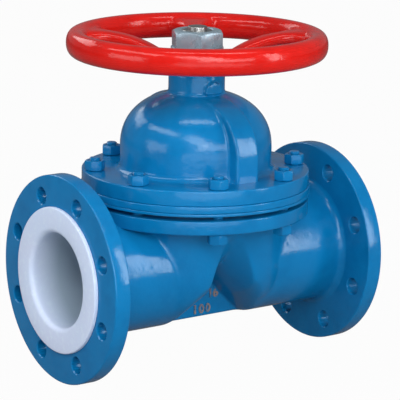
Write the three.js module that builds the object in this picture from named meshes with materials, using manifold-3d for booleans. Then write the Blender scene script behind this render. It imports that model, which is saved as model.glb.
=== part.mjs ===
// A lined weir-type diaphragm valve, DN100 PN16, with a rising handwheel.
// Millimetres, +Z up. X runs along the pipe, the stem stands on Z, and the origin lies under the stem
// at the height of the end flanges' lowest points. The valve is modelled closed: the diaphragm rests
// on the weir and the handwheel is at its lowest.
import * as THREE from 'three';
import { mergeVertices } from 'three/addons/utils/BufferGeometryUtils.js';
import Module from 'manifold-3d';

// ---- Fits -------------------------------------------------------------------------------------
const GAP = 0.3; // between pieces that touch
const SLIDE_GAP = 0.8; // between a guided piece and its guide
const PAST = 1; // how far a cutter runs past the face it opens, and a joined shape into its neighbour
const EDGE = 1; // chamfer of plain edges

// ---- Pipe, end flanges and lining ---------------------------------------------------------------
const FACE_TO_FACE = 350;
const BORE_DIAMETER = 100;
const LINING = 5; // lining wall inside the passage
const PIPE_WALL = 9.7; // iron wall of the pipe stubs
const FLANGE_DIAMETER = 220;
const FLANGE_THICKNESS = 18;
const FLANGE_BOLT_CIRCLE = 180;
const FLANGE_HOLE = 18;
const FLANGE_HOLES = 8;
const FLANGE_FILLET = 8;
const SEAT_DIAMETER = 154; // raised lining face on each end flange
const SEAT_THICKNESS = 4;
const MOUTH_ROUND = 3.5; // rounding of the lining at the bore's mouth

// ---- Body middle ----------------------------------------------------------------------------------
const WEIR_TOP = 136; // height of the weir's crest at mid width
const WEIR_FOOT = 62; // where the floor of the passage starts to rise, from the middle
const OPENING_LENGTH = 160; // opening under the diaphragm, along the pipe
const OPENING_EXTRA_WIDTH = 20; // how much wider than the bore the opening is
const OPENING_ROUNDNESS = 3; // superellipse exponent of the opening's outline
const WIDEST_RISE = 1.3; // exponent of the widest line's rise from the axis to the diaphragm
const BOWL_WALL = 8.7; // iron wall beside the opening
const BOWL_END_WALL = 2.7; // the bowl's end beyond the opening, backed by the pipe
const BOWL_TUCK = 5; // the bowl's underside stays this far inside the pipe
const BOWL_ROUNDNESS = 3.4; // superellipse exponent of the bowl's outline
const BOWL_END = 64; // from here outwards the bowl's underside rises into the pipe
const BOWL_END_RISE = 3; // rise of the underside per millimetre beyond that
const BOWL_END_WIDEST_RISE = 1.6;
const ARCH_TOP = 100; // apex of the arch under the weir, outside
const ARCH_HALF_SPAN = 55; // half width of that arch at the bottom
const ARCH_SHOULDER = 60; // rise of the body's widest line towards the middle
const ARCH_SHOULDER_SPAN = 28;
const ARCH_SHOULDER_BEND = 2; // exponent of its fall from the middle outwards
const WEB_THICKNESS = 12; // upright web that closes the arch

// ---- Joint between body and bonnet ----------------------------------------------------------------
const JOINT_DIAMETER = 243;
// Heights named ABOVE_JOINT, here and further down, are measured from the underside of the body's joint.
const BODY_JOINT_DROP = 10; // of that underside below the top of the pipe
const BODY_JOINT_THICKNESS = 15;
const DECK_DIAMETER = 194; // lining under the diaphragm
const DECK_THICKNESS = 4.5;
const DIAPHRAGM_DIAMETER = 245.5;
const FACE_SHEET = 3.2; // smooth lining-side sheet of the diaphragm
const BACKING_SHEET = 7.2; // rubber backing of the diaphragm
const CUP_RELIEF = 1.5; // between the diaphragm's cup and the sides of the opening
const BONNET_JOINT_THICKNESS = 15.5;
const JOINT_BOLT_CIRCLE = 218;
const JOINT_BOLTS = 8;
const JOINT_HOLE = 13.5;
const JOINT_CHAMFER = 1.5;

// ---- Joint bolting ----------------------------------------------------------------------------------
const BOLT_DIAMETER = 12;
const BOLT_HEX = 19; // across flats
const BOLT_HEAD = 11;
const NUT_HEIGHT = 10.5;
const BOLT_TIP = 3; // thread beyond the nut
const STUD_NEAR_PIPE = 45; // bolt places closer than this to the pipe's direction take studs, degrees

// ---- Bonnet -------------------------------------------------------------------------------------------
const DOME_DIAMETER = 162;
const DOME_STRAIGHT = 22; // upright stretch of the dome above its flange
const DOME_CROWN = 62; // height of the rounded stretch
const DOME_ROUNDNESS = 2.3; // superellipse exponent of the crown
const DOME_WALL = 9;
const DOME_BASE_FILLET = 5;
const RIB_WIDTH = 28;
const RIB_PROUD = 14;
const RIB_TOP_DROP = 2; // of the rib's upper end below the crown's
const RIB_INTO_NECK = 4;
const NECK_DIAMETER = 60;
const NECK_ABOVE_JOINT = 150;
const BOSS_WIDTH = 21; // arched boss of the locking screw
const BOSS_HEIGHT = 13;
const BOSS_PROUD = 3;
const LOCK_SCREW_DIAMETER = 8;
const LOCK_SCREW_ABOVE_JOINT = 136;
const LOCK_SCREW_PROUD = 0.5; // of the screw's end beyond its boss
const GUIDE_END = 3; // of the lugs' guide beyond their highest place

// ---- Drive --------------------------------------------------------------------------------------------
const STEM_DIAMETER = 36; // trapezoidal thread, 6 mm pitch
const STEM_END_DIAMETER = 33; // fastening thread on the upper end
const STEM_TIP_DIAMETER = 21; // plain tip above that thread
const STEM_TIP = 4;
const STEM_SEAT_DIAMETER = 34; // plain seat of the handwheel
const STEM_ABOVE_JOINT = 198;
const STEM_FOOT_ABOVE_JOINT = 7;
const STEM_NUT_WALL = 5.7;
const STEM_NUT_LENGTH = 39;
const STEM_NUT_COLLAR = 59; // diameter of the collar inside the bonnet
const STEM_NUT_COLLAR_HEIGHT = 7;
const GROOVE_DEPTH = 5.5; // ring groove that the retaining pins run in
const PIN_DIAMETER = 7.6;
const PIN_ABOVE_JOINT = 31;
const PIN_LENGTH = 38;

// ---- Compressor ---------------------------------------------------------------------------------------
const STROKE = 40; // lift from closed to open
const HUB_DIAMETER = 56;
const HUB_ABOVE_JOINT = 47;
const HUB_FILLET = 6;
const PLATE_THICKNESS_AT_EDGE = 9;
const PLATE_CHAMFER = 3;
const LUG_WIDTH = 18;
const LUG_REACH = 80;
const LUG_BOTTOM_ABOVE_JOINT = 34;
const LUG_TOP_ABOVE_JOINT = 46;
const GUSSET_REACH = 15; // of the gussets under the lugs, out from the hub
const STUD_DIAMETER = 12;
const STUD_HEAD_DIAMETER = 24;
const STUD_HEAD = 2.2;
const STUD_LENGTH = 20;

// ---- Handwheel ------------------------------------------------------------------------------------------
const WHEEL_DIAMETER = 277;
const RIM_WIDTH = 22;
const RIM_HEIGHT = 28;
const RIM_ABOVE_JOINT = 180;
const RIM_ROUNDNESS = 2.8;
const WHEEL_HUB_DIAMETER = 58;
const WHEEL_HUB_ABOVE_JOINT = 152;
const WHEEL_HUB_HEIGHT = 21;
const SPOKES = 5;
const SPOKE_PHASE = 58; // degrees from +X to the first spoke
const SPOKE_WIDTH = 22;
const SPOKE_THICKNESS = 13;
const SPOKE_RISE = 1.5; // of the spokes' middle above the rim's, where they meet
const SPOKE_DROP = 25; // how far the spokes' curve dips from rim to hub
const SPOKE_HUB_INSET = 2; // spokes' underside above the hub's
const SPOKE_INTO_HUB = 8;
const SPOKE_INTO_RIM = 5;
const SPOKE_CURVE = 2.5; // exponent of that dip
const SPOKE_SQUARENESS = 0.75; // 1 for an elliptical section, less for a squarer one
const SPOKE_FLARE = 14; // widening of each side where a spoke meets the rim
const SPOKE_FLARE_START = 0.72; // share of the spoke's length before it widens
const KEY_WIDTH = 10;
const KEY_HEIGHT = 8;
const KEY_LENGTH = 18;
const KEY_INSET = 1; // above the hub's underside
const WASHER_DIAMETER = 56;
const WASHER_THICKNESS = 3;
const WHEEL_NUT_HEX = 50;
const WHEEL_NUT_TOP_DIAMETER = 47.5; // flat ring inside the chamfer
const NUT_CHAMFER = 29; // degrees
const WHEEL_NUT_HEIGHT = 17.5;
const WHEEL_NUT_PHASE = 4; // degrees from +X to a corner

// ---- Facets -------------------------------------------------------------------------------------------
const ROUND = 32; // sides of a large round
const MEDIUM_ROUND = 24; // sides of the stem, hubs and sheets
const SMALL_ROUND = 10; // sides of a bolt or a hole
const SECTION = 20; // sides of a lofted section, a multiple of 4
const BODY_STATIONS = 16; // sections of the passage and of the bowl
const ARCH_STATIONS = 22;
const CUP_STEPS = 5; // steps of the diaphragm's cup from edge to middle
const CROWN_STEPS = 8; // steps of the bonnet's crown
const RIM_SIDES = 44;
const RIM_STEPS = 10; // sides of the rim's section
const SPOKE_STATIONS = 8;
const SPOKE_SECTION = 8; // sides of a spoke's section

// ---- Derived sizes ----------------------------------------------------------------------------------
const AXIS_Z = FLANGE_DIAMETER / 2;
const BORE_R = BORE_DIAMETER / 2;
const PIPE_R = BORE_R + LINING + GAP + PIPE_WALL;
const METAL_FACE = FACE_TO_FACE / 2 - SEAT_THICKNESS;
const FLANGE_BACK = METAL_FACE - FLANGE_THICKNESS;
const OPENING_HALF_LENGTH = OPENING_LENGTH / 2;
const OPENING_HALF_WIDTH = BORE_R + OPENING_EXTRA_WIDTH / 2;
const BOWL_HALF_LENGTH = OPENING_HALF_LENGTH + LINING + GAP + BOWL_END_WALL;
const BOWL_HALF_WIDTH = OPENING_HALF_WIDTH + LINING + GAP + BOWL_WALL;
const BODY_JOINT_BOTTOM = AXIS_Z + PIPE_R - BODY_JOINT_DROP;
const BODY_JOINT_TOP = BODY_JOINT_BOTTOM + BODY_JOINT_THICKNESS;
const NECK_TOP = BODY_JOINT_BOTTOM + NECK_ABOVE_JOINT;
const LOCK_SCREW_HEIGHT = BODY_JOINT_BOTTOM + LOCK_SCREW_ABOVE_JOINT;
const STEM_TOP = BODY_JOINT_BOTTOM + STEM_ABOVE_JOINT;
const STEM_FOOT = BODY_JOINT_BOTTOM + STEM_FOOT_ABOVE_JOINT;
const PIN_HEIGHT = BODY_JOINT_BOTTOM + PIN_ABOVE_JOINT;
const HUB_TOP = BODY_JOINT_BOTTOM + HUB_ABOVE_JOINT;
const LUG_BOTTOM = BODY_JOINT_BOTTOM + LUG_BOTTOM_ABOVE_JOINT;
const LUG_TOP = BODY_JOINT_BOTTOM + LUG_TOP_ABOVE_JOINT;
const RIM_CENTRE = BODY_JOINT_BOTTOM + RIM_ABOVE_JOINT;
const WHEEL_HUB_BOTTOM = BODY_JOINT_BOTTOM + WHEEL_HUB_ABOVE_JOINT;
const DECK_TOP = BODY_JOINT_TOP + DECK_THICKNESS;
const FACE_TOP = DECK_TOP + GAP + FACE_SHEET;
const BACKING_TOP = FACE_TOP + GAP + BACKING_SHEET;
const BONNET_BOTTOM = BACKING_TOP + GAP;
const BONNET_JOINT_TOP = BONNET_BOTTOM + BONNET_JOINT_THICKNESS;
const DOME_R = DOME_DIAMETER / 2;
const CROWN_START = BONNET_JOINT_TOP + DOME_STRAIGHT;
const NECK_R = NECK_DIAMETER / 2;
const STEM_R = STEM_DIAMETER / 2;
const STEM_NUT_R = STEM_R + GAP + STEM_NUT_WALL;
const STEM_NUT_TOP = NECK_TOP + GAP;
const STEM_NUT_COLLAR_TOP = STEM_NUT_TOP - STEM_NUT_LENGTH + STEM_NUT_COLLAR_HEIGHT;
const BOLT_HEAD_TOP = BODY_JOINT_BOTTOM - GAP;
const NUT_BOTTOM = BONNET_JOINT_TOP + GAP;
const NUT_TOP = NUT_BOTTOM + NUT_HEIGHT;
const RIM_R = WHEEL_DIAMETER / 2 - RIM_WIDTH / 2;
const WHEEL_HUB_TOP = WHEEL_HUB_BOTTOM + WHEEL_HUB_HEIGHT;
const WASHER_BOTTOM = WHEEL_HUB_TOP + GAP;
const WHEEL_NUT_BOTTOM = WASHER_BOTTOM + WASHER_THICKNESS + GAP;
const SEAT_R = STEM_SEAT_DIAMETER / 2;

// ---- Solids -------------------------------------------------------------------------------------------
const wasm = await Module();
wasm.setup();

function signedVolume(points, index) {
  const corner = (k) => new THREE.Vector3().fromArray(points, 3 * index[k]);
  let volume = 0;
  for (let k = 0; k < index.length; k += 3) {
    volume += corner(k).dot(corner(k + 1).cross(corner(k + 2)));
  }
  return volume;
}

// Turns a closed three.js geometry into a solid that can be joined and cut.
function solid(geometry) {
  const bare = geometry.clone();
  bare.deleteAttribute('normal');
  bare.deleteAttribute('uv');
  const merged = mergeVertices(bare, 1e-3);
  const points = new Float32Array(merged.getAttribute('position').array);
  const index = [];
  for (let k = 0; k < merged.index.count; k += 3) {
    const [a, b, c] = [0, 1, 2].map((i) => merged.index.getX(k + i));
    if (a !== b && b !== c && c !== a) index.push(a, b, c);
  }
  if (signedVolume(points, index) < 0) index.reverse();
  const triVerts = new Uint32Array(index);
  return new wasm.Manifold(new wasm.Mesh({ numProp: 3, vertProperties: points, triVerts }));
}

function geometryOf(shape) {
  const mesh = shape.getMesh();
  const geometry = new THREE.BufferGeometry();
  geometry.setAttribute('position', new THREE.BufferAttribute(new Float32Array(mesh.vertProperties), 3));
  geometry.setIndex(new THREE.BufferAttribute(new Uint32Array(mesh.triVerts), 1));
  geometry.computeVertexNormals();
  return geometry;
}

const radians = THREE.MathUtils.degToRad;
const joinAll = (shapes) => shapes.reduce((whole, shape) => whole.add(shape));

// A turned shape about Z from [radius, z] points that start and end on the axis.
function turned(points, sides = ROUND) {
  const profile = points.map(([r, z]) => new THREE.Vector2(r, z));
  return solid(new THREE.LatheGeometry(profile, sides).rotateX(Math.PI / 2));
}

// The same about the pipe's axis, from [radius, x] points.
function turnedOnPipe(points, sides = ROUND) {
  const profile = points.map(([r, x]) => new THREE.Vector2(r, x));
  const geometry = new THREE.LatheGeometry(profile, sides).rotateZ(-Math.PI / 2);
  return solid(geometry.translate(0, 0, AXIS_Z));
}

function rod(radius, bottom, top, sides = ROUND) {
  const geometry = new THREE.CylinderGeometry(radius, radius, top - bottom, sides);
  return solid(geometry.rotateX(Math.PI / 2).translate(0, 0, (bottom + top) / 2));
}

function block(width, depth, bottom, top) {
  return solid(new THREE.BoxGeometry(width, depth, top - bottom).translate(0, 0, (bottom + top) / 2));
}

function hexagon(acrossFlats, bottom, top, phase = 0) {
  const shape = rod(acrossFlats / Math.sqrt(3), bottom, top, 6);
  return shape.rotate([0, 0, phase + 30]);
}

// A closed skin through sections. place(t, angle, spread) gives a point of the section at t, from 0 to 1;
// spread is 1 on the outline and 0 at the middle of an end cap.
function loft(place, stations, sides = SECTION) {
  const geometry = new THREE.CylinderGeometry(1, 1, 1, sides, stations);
  const position = geometry.getAttribute('position');
  for (let k = 0; k < position.count; k += 1) {
    const [x, y, z] = [position.getX(k), position.getY(k), position.getZ(k)];
    const point = place(y + 0.5, Math.atan2(z, x), Math.min(1, Math.hypot(x, z)));
    position.setXYZ(k, point.x, point.y, point.z);
  }
  return solid(geometry);
}

// Radius of a superellipse of half axes a and b at the distance v along b.
function superellipse(v, a, b, exponent) {
  return a * Math.max(0, 1 - (Math.abs(v) / b) ** exponent) ** (1 / exponent);
}

function aroundStem(count, phase, make) {
  return Array.from({ length: count }, (_, k) => make(k).rotate([0, 0, phase + (360 * k) / count]));
}

// ---- Body and lining ------------------------------------------------------------------------------------
// Height of the passage's floor at mid width; it rises to the weir on a cosine.
function floorHeight(x) {
  const share = Math.max(0, 1 - Math.abs(x) / WEIR_FOOT);
  const low = AXIS_Z - BORE_R;
  return low + ((WEIR_TOP - low) * (1 - Math.cos(Math.PI * share))) / 2;
}

// A U-shaped section: a half ellipse below its widest line and straight sides up to the top.
function uSection(x, halfWidth, widest, floor, top, angle, spread) {
  const y = halfWidth * Math.cos(angle) * spread;
  if (Math.sin(angle) <= 0) {
    const low = widest + (widest - floor) * Math.sin(angle);
    return new THREE.Vector3(x, y, spread ? low : (widest + top) / 2);
  }
  const corner = (2 * Math.PI) / SECTION;
  const lift = Math.min(1, Math.sin(angle) / Math.sin(corner));
  const across = Math.min(1, Math.abs(Math.cos(angle)) / Math.cos(corner)) * Math.sign(Math.cos(angle));
  return new THREE.Vector3(x, halfWidth * across * spread, widest + (top - widest) * lift);
}

// The passage for the fluid, grown outwards by the given wall. On the weir's slope the wall is measured
// along the slope's normal, partly along X and partly along Z.
const SLOPE_LEAN = 0.7;
const SLOPE_RISE = 0.75;
const TIP_CUT = 0.4; // the end sections stop this far before a superellipse's tip

function passage(grow, top) {
  const halfLength = OPENING_HALF_LENGTH + grow;
  const bowl = loft((t, angle, spread) => {
    const x = -Math.cos(Math.PI * t) * (halfLength - TIP_CUT);
    const halfWidth = superellipse(x, OPENING_HALF_WIDTH + grow, halfLength, OPENING_ROUNDNESS);
    const share = Math.max(0, 1 - Math.abs(x) / WEIR_FOOT);
    const floor = floorHeight(Math.abs(x) + SLOPE_LEAN * grow) - (share ? SLOPE_RISE : 1) * grow;
    const widest = AXIS_Z + (DECK_TOP - AXIS_Z) * share ** WIDEST_RISE;
    return uSection(x, halfWidth, widest, floor, top, angle, spread);
  }, BODY_STATIONS);
  return bowl.add(bore(grow, 1)).add(bore(grow, -1));
}

// One straight end of the passage, from the weir's foot to the flange face.
function bore(grow, side) {
  const end = FACE_TO_FACE / 2;
  const r = BORE_R + grow;
  const start = WEIR_FOOT - 3;
  const bend = 0.3 * MOUTH_ROUND;
  const mouth = [
    [r, end - MOUTH_ROUND],
    [r + bend, end - bend],
    [r + MOUTH_ROUND, end],
    [r + MOUTH_ROUND, end + PAST],
  ];
  const points = [[0, start], [r, start], ...(grow ? [[r, end]] : mouth)];
  points.push([0, points.at(-1)[1]]);
  return turnedOnPipe(points.map(([radius, x]) => [radius, side * x]));
}

// The iron around the middle of the passage, before the arch below the weir is cut from it.
function bowlOutside() {
  return loft((t, angle, spread) => {
    const x = -Math.cos(Math.PI * t) * (BOWL_HALF_LENGTH - TIP_CUT);
    const beyond = Math.max(0, Math.abs(x) - BOWL_END);
    const widest = AXIS_Z + BOWL_END_WIDEST_RISE * beyond;
    const low = AXIS_Z - PIPE_R + BOWL_TUCK + BOWL_END_RISE * beyond;
    return uSection(x, bowlHalfWidth(x), widest, low, BODY_JOINT_BOTTOM + PAST, angle, spread);
  }, BODY_STATIONS);
}

function bowlHalfWidth(x) {
  return superellipse(x, BOWL_HALF_WIDTH, BOWL_HALF_LENGTH, BOWL_ROUNDNESS);
}

function pipeOutside() {
  const bend = 0.3 * FLANGE_FILLET;
  const half = [
    [PIPE_R, FLANGE_BACK - FLANGE_FILLET],
    [PIPE_R + bend, FLANGE_BACK - bend],
    [PIPE_R + FLANGE_FILLET, FLANGE_BACK],
    [AXIS_Z - EDGE, FLANGE_BACK],
    [AXIS_Z, FLANGE_BACK + EDGE],
    [AXIS_Z, METAL_FACE - EDGE],
    [AXIS_Z - EDGE, METAL_FACE],
    [0, METAL_FACE],
  ];
  const mirrored = half.map(([r, x]) => [r, -x]).reverse();
  return turnedOnPipe([...mirrored, ...half]);
}

// What lies in the arch below the weir: each section is open downwards and its roof dips at mid width.
function archCut() {
  const low = AXIS_Z - PIPE_R;
  return loft((t, angle, spread) => {
    const x = (2 * t - 1) * ARCH_HALF_SPAN;
    const reach = Math.abs(x);
    const roof = low + (ARCH_TOP - low) * (1 - reach / ARCH_HALF_SPAN);
    const shoulder = Math.max(0, 1 - (reach / ARCH_SHOULDER_SPAN) ** ARCH_SHOULDER_BEND);
    const widest = AXIS_Z + ARCH_SHOULDER * shoulder;
    const y = (bowlHalfWidth(x) + 2 * PAST) * Math.cos(angle) * spread;
    const swing = Math.abs(Math.sin(angle));
    const z = Math.sin(angle) > -1e-6 ? widest - (widest - roof) * swing : low - AXIS_Z * swing;
    return new THREE.Vector3(x, y, spread ? z : low - PAST);
  }, ARCH_STATIONS);
}

function flangeHoles() {
  const hole = (k) => {
    const angle = radians((360 * (k + 0.5)) / FLANGE_HOLES);
    const y = (Math.cos(angle) * FLANGE_BOLT_CIRCLE) / 2;
    const z = (Math.sin(angle) * FLANGE_BOLT_CIRCLE) / 2;
    const end = METAL_FACE + PAST;
    return rod(FLANGE_HOLE / 2, -end, end, SMALL_ROUND).rotate([0, 90, 0]).translate([0, y, AXIS_Z + z]);
  };
  const between = FLANGE_BACK - PAST;
  const inside = turnedOnPipe([
    [0, -between],
    [AXIS_Z + PAST, -between],
    [AXIS_Z + PAST, between],
    [0, between],
  ]);
  return joinAll(Array.from({ length: FLANGE_HOLES }, (_, k) => hole(k))).subtract(inside);
}

function jointHoles(bottom, top) {
  const holes = aroundStem(JOINT_BOLTS, 180 / JOINT_BOLTS, () => (
    rod(JOINT_HOLE / 2, bottom - PAST, top + PAST, SMALL_ROUND).translate([JOINT_BOLT_CIRCLE / 2, 0, 0])
  ));
  return joinAll(holes);
}

// The pipe leaves no room for heads under the joint beside it, so studs stand in the body there.
function isStud(k) {
  const angle = (360 * (k + 0.5)) / JOINT_BOLTS;
  return Math.abs(Math.cos(radians(angle))) > Math.cos(radians(STUD_NEAR_PIPE));
}

function bodyJointHoles() {
  const holes = aroundStem(JOINT_BOLTS, 180 / JOINT_BOLTS, (k) => {
    const radius = isStud(k) ? BOLT_DIAMETER / 2 + GAP : JOINT_HOLE / 2;
    const bottom = isStud(k) ? BODY_JOINT_BOTTOM : BODY_JOINT_BOTTOM - PAST;
    return rod(radius, bottom, BODY_JOINT_TOP + PAST, SMALL_ROUND).translate([JOINT_BOLT_CIRCLE / 2, 0, 0]);
  });
  return joinAll(holes);
}

function disc(diameter, bottom, top, chamfer) {
  const r = diameter / 2;
  return turned([
    [0, bottom],
    [r - chamfer, bottom],
    [r, bottom + chamfer],
    [r, top - chamfer],
    [r - chamfer, top],
    [0, top],
  ]);
}

function body() {
  const web = block(2 * FLANGE_BACK, WEB_THICKNESS, AXIS_Z - PIPE_R, AXIS_Z);
  return pipeOutside()
    .add(bowlOutside())
    .subtract(archCut())
    .add(web)
    .add(disc(JOINT_DIAMETER, BODY_JOINT_BOTTOM, BODY_JOINT_TOP, JOINT_CHAMFER))
    .subtract(passage(LINING + GAP, BODY_JOINT_TOP + PAST))
    .subtract(flangeHoles())
    .subtract(bodyJointHoles());
}

function bodyLining() {
  const seat = (side) => turnedOnPipe([
    [0, side * (METAL_FACE + GAP)],
    [SEAT_DIAMETER / 2, side * (METAL_FACE + GAP)],
    [SEAT_DIAMETER / 2, (side * FACE_TO_FACE) / 2],
    [0, (side * FACE_TO_FACE) / 2],
  ]);
  return passage(LINING, DECK_TOP)
    .add(rod(DECK_DIAMETER / 2, BODY_JOINT_TOP + GAP, DECK_TOP))
    .add(seat(1))
    .add(seat(-1))
    .subtract(passage(0, DECK_TOP + PAST));
}

// ---- Diaphragm ----------------------------------------------------------------------------------------
// Half axes of the cup that hangs from the joint down to the weir, shrunk by the given inset.
function cupPoint(inset, angle) {
  const r = (OPENING_HALF_WIDTH - CUP_RELIEF - inset) * Math.cos(angle);
  return [r, DECK_TOP - (DECK_TOP - WEIR_TOP - inset) * Math.sin(angle)];
}

function cupArc(inset, from, to) {
  return Array.from({ length: CUP_STEPS + 1 }, (_, k) => (
    cupPoint(inset, from + ((to - from) * k) / CUP_STEPS)
  ));
}

function diaphragmSheet(inset, thickness, bottom, top) {
  const r = DIAPHRAGM_DIAMETER / 2;
  const outside = cupArc(inset, Math.PI / 2, 0);
  const inside = cupArc(inset + thickness, 0, Math.PI / 2);
  outside[0][0] = 0;
  inside.at(-1)[0] = 0;
  const rim = [[outside.at(-1)[0], bottom], [r, bottom], [r, top], [inside[0][0], top]];
  return turned([...outside, ...rim, ...inside], MEDIUM_ROUND).subtract(jointHoles(bottom, top));
}

const FACE_INSET = GAP;
const BACKING_INSET = FACE_INSET + FACE_SHEET + GAP;
const COMPRESSOR_INSET = BACKING_INSET + BACKING_SHEET + GAP;
const CUP_FLOOR = WEIR_TOP + BACKING_INSET + BACKING_SHEET;
const STUD_BOTTOM = CUP_FLOOR - STUD_HEAD;

function diaphragmFace() {
  return diaphragmSheet(FACE_INSET, FACE_SHEET, DECK_TOP + GAP, FACE_TOP);
}

function diaphragmBacking() {
  const pocketRadius = STUD_HEAD_DIAMETER / 2 + GAP;
  const pocket = rod(pocketRadius, STUD_BOTTOM - GAP, CUP_FLOOR + PAST, MEDIUM_ROUND);
  return diaphragmSheet(BACKING_INSET, BACKING_SHEET, FACE_TOP + GAP, BACKING_TOP).subtract(pocket);
}

function diaphragmStud() {
  return rod(STUD_HEAD_DIAMETER / 2, STUD_BOTTOM, CUP_FLOOR, MEDIUM_ROUND)
    .add(rod(STUD_DIAMETER / 2, CUP_FLOOR - PAST, STUD_BOTTOM + STUD_LENGTH, SMALL_ROUND));
}

// ---- Compressor, pins and stem ----------------------------------------------------------------------------
function compressor() {
  const dome = cupArc(COMPRESSOR_INSET, Math.PI / 2, 0);
  dome[0][0] = 0;
  const edge = dome.at(-1)[0];
  const hub = HUB_DIAMETER / 2;
  const plateTop = DECK_TOP + PLATE_THICKNESS_AT_EDGE;
  const plate = turned([
    ...dome,
    [edge, plateTop - PLATE_CHAMFER],
    [edge - PLATE_CHAMFER, plateTop],
    [hub + HUB_FILLET, plateTop],
    [hub, plateTop + HUB_FILLET],
    [hub, HUB_TOP],
    [0, HUB_TOP],
  ], MEDIUM_ROUND);
  const lugs = block(LUG_WIDTH, 2 * LUG_REACH, LUG_BOTTOM, LUG_TOP);
  const gusset = block(LUG_WIDTH, HUB_DIAMETER + 2 * GUSSET_REACH, DECK_TOP, LUG_TOP);
  const studTop = STUD_BOTTOM + STUD_LENGTH;
  return plate
    .add(lugs)
    .add(gusset)
    .subtract(rod(STEM_R + 2 * GAP, STEM_FOOT - GAP, HUB_TOP + PAST, MEDIUM_ROUND))
    .subtract(rod(STUD_DIAMETER / 2 + GAP, WEIR_TOP, studTop + GAP, SMALL_ROUND))
    .subtract(pin(1, GAP, PIN_LENGTH))
    .subtract(pin(-1, GAP, PIN_LENGTH));
}

// A retaining pin: it crosses the hub beside the stem and runs in the stem's groove.
function pin(side, grow = 0, extra = 0) {
  const half = PIN_LENGTH / 2 + extra;
  const offset = STEM_R - GROOVE_DEPTH + GAP + PIN_DIAMETER / 2;
  return rod(PIN_DIAMETER / 2 + grow, -half, half, SMALL_ROUND)
    .rotate([90, 0, 0])
    .translate([side * offset, 0, PIN_HEIGHT]);
}

function stem() {
  const groove = PIN_DIAMETER / 2 + GAP;
  const core = STEM_R - GROOVE_DEPTH;
  const shoulder = WHEEL_HUB_BOTTOM - GAP;
  const end = STEM_END_DIAMETER / 2;
  const tip = STEM_TIP_DIAMETER / 2;
  const threadTop = STEM_TOP - STEM_TIP;
  const shaft = turned([
    [0, STEM_FOOT],
    [STEM_R - 2 * EDGE, STEM_FOOT],
    [STEM_R, STEM_FOOT + 2 * EDGE],
    [STEM_R, PIN_HEIGHT - groove],
    [core, PIN_HEIGHT - groove],
    [core, PIN_HEIGHT + groove],
    [STEM_R, PIN_HEIGHT + groove],
    [STEM_R, shoulder],
    [SEAT_R, shoulder],
    [SEAT_R, WHEEL_HUB_TOP - GAP],
    [end, WHEEL_HUB_TOP - GAP],
    [end, threadTop - EDGE],
    [end - EDGE, threadTop],
    [tip, threadTop],
    [tip, STEM_TOP - EDGE],
    [tip - EDGE, STEM_TOP],
    [0, STEM_TOP],
  ], MEDIUM_ROUND);
  return shaft.subtract(keyBar(GAP));
}

// The parallel key between stem and handwheel; it points along +Y at the phase of the first spoke.
function keyBar(grow = 0) {
  const bottom = WHEEL_HUB_BOTTOM + KEY_INSET;
  return block(KEY_WIDTH + 2 * grow, KEY_HEIGHT + 2 * grow, bottom - grow, bottom + KEY_LENGTH + grow)
    .translate([0, SEAT_R, 0])
    .rotate([0, 0, SPOKE_PHASE]);
}

// ---- Bonnet -------------------------------------------------------------------------------------------
function domeArc(radius, crown, toRadius, steps) {
  const endAngle = Math.acos(Math.min(1, (toRadius / radius) ** (DOME_ROUNDNESS / 2)));
  return Array.from({ length: steps + 1 }, (_, k) => {
    const angle = (endAngle * k) / steps;
    const r = radius * Math.cos(angle) ** (2 / DOME_ROUNDNESS);
    return [r, CROWN_START + crown * Math.sin(angle) ** (2 / DOME_ROUNDNESS)];
  });
}

function rib() {
  const reach = DOME_R + RIB_PROUD;
  const shape = new THREE.Shape();
  const bottom = BONNET_JOINT_TOP - PAST;
  shape.moveTo(0, bottom);
  shape.lineTo(reach, bottom);
  const crown = DOME_CROWN - RIB_TOP_DROP;
  domeArc(reach, crown, NECK_R - RIB_INTO_NECK, CROWN_STEPS).forEach(([y, z]) => shape.lineTo(y, z));
  shape.lineTo(0, CROWN_START + crown - RIB_TOP_DROP);
  const geometry = new THREE.ExtrudeGeometry(shape, { depth: RIB_WIDTH, bevelEnabled: false });
  return solid(geometry.translate(0, 0, -RIB_WIDTH / 2).rotateX(Math.PI / 2).rotateZ(Math.PI / 2));
}

function lockBoss() {
  const half = BOSS_WIDTH / 2;
  const bottom = LOCK_SCREW_HEIGHT - BOSS_HEIGHT / 2;
  const shape = new THREE.Shape();
  shape.moveTo(-half, bottom);
  shape.lineTo(half, bottom);
  shape.absarc(0, bottom + BOSS_HEIGHT - half, half, 0, Math.PI, false);
  const settings = { depth: NECK_R + BOSS_PROUD, bevelEnabled: false, curveSegments: SMALL_ROUND };
  return solid(new THREE.ExtrudeGeometry(shape, settings).rotateX(Math.PI / 2));
}

function lockScrewHole(grow, inner, outer) {
  const radius = LOCK_SCREW_DIAMETER / 2 + grow;
  return rod(radius, inner, outer, SMALL_ROUND).rotate([90, 0, 0]).translate([0, 0, LOCK_SCREW_HEIGHT]);
}

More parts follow.
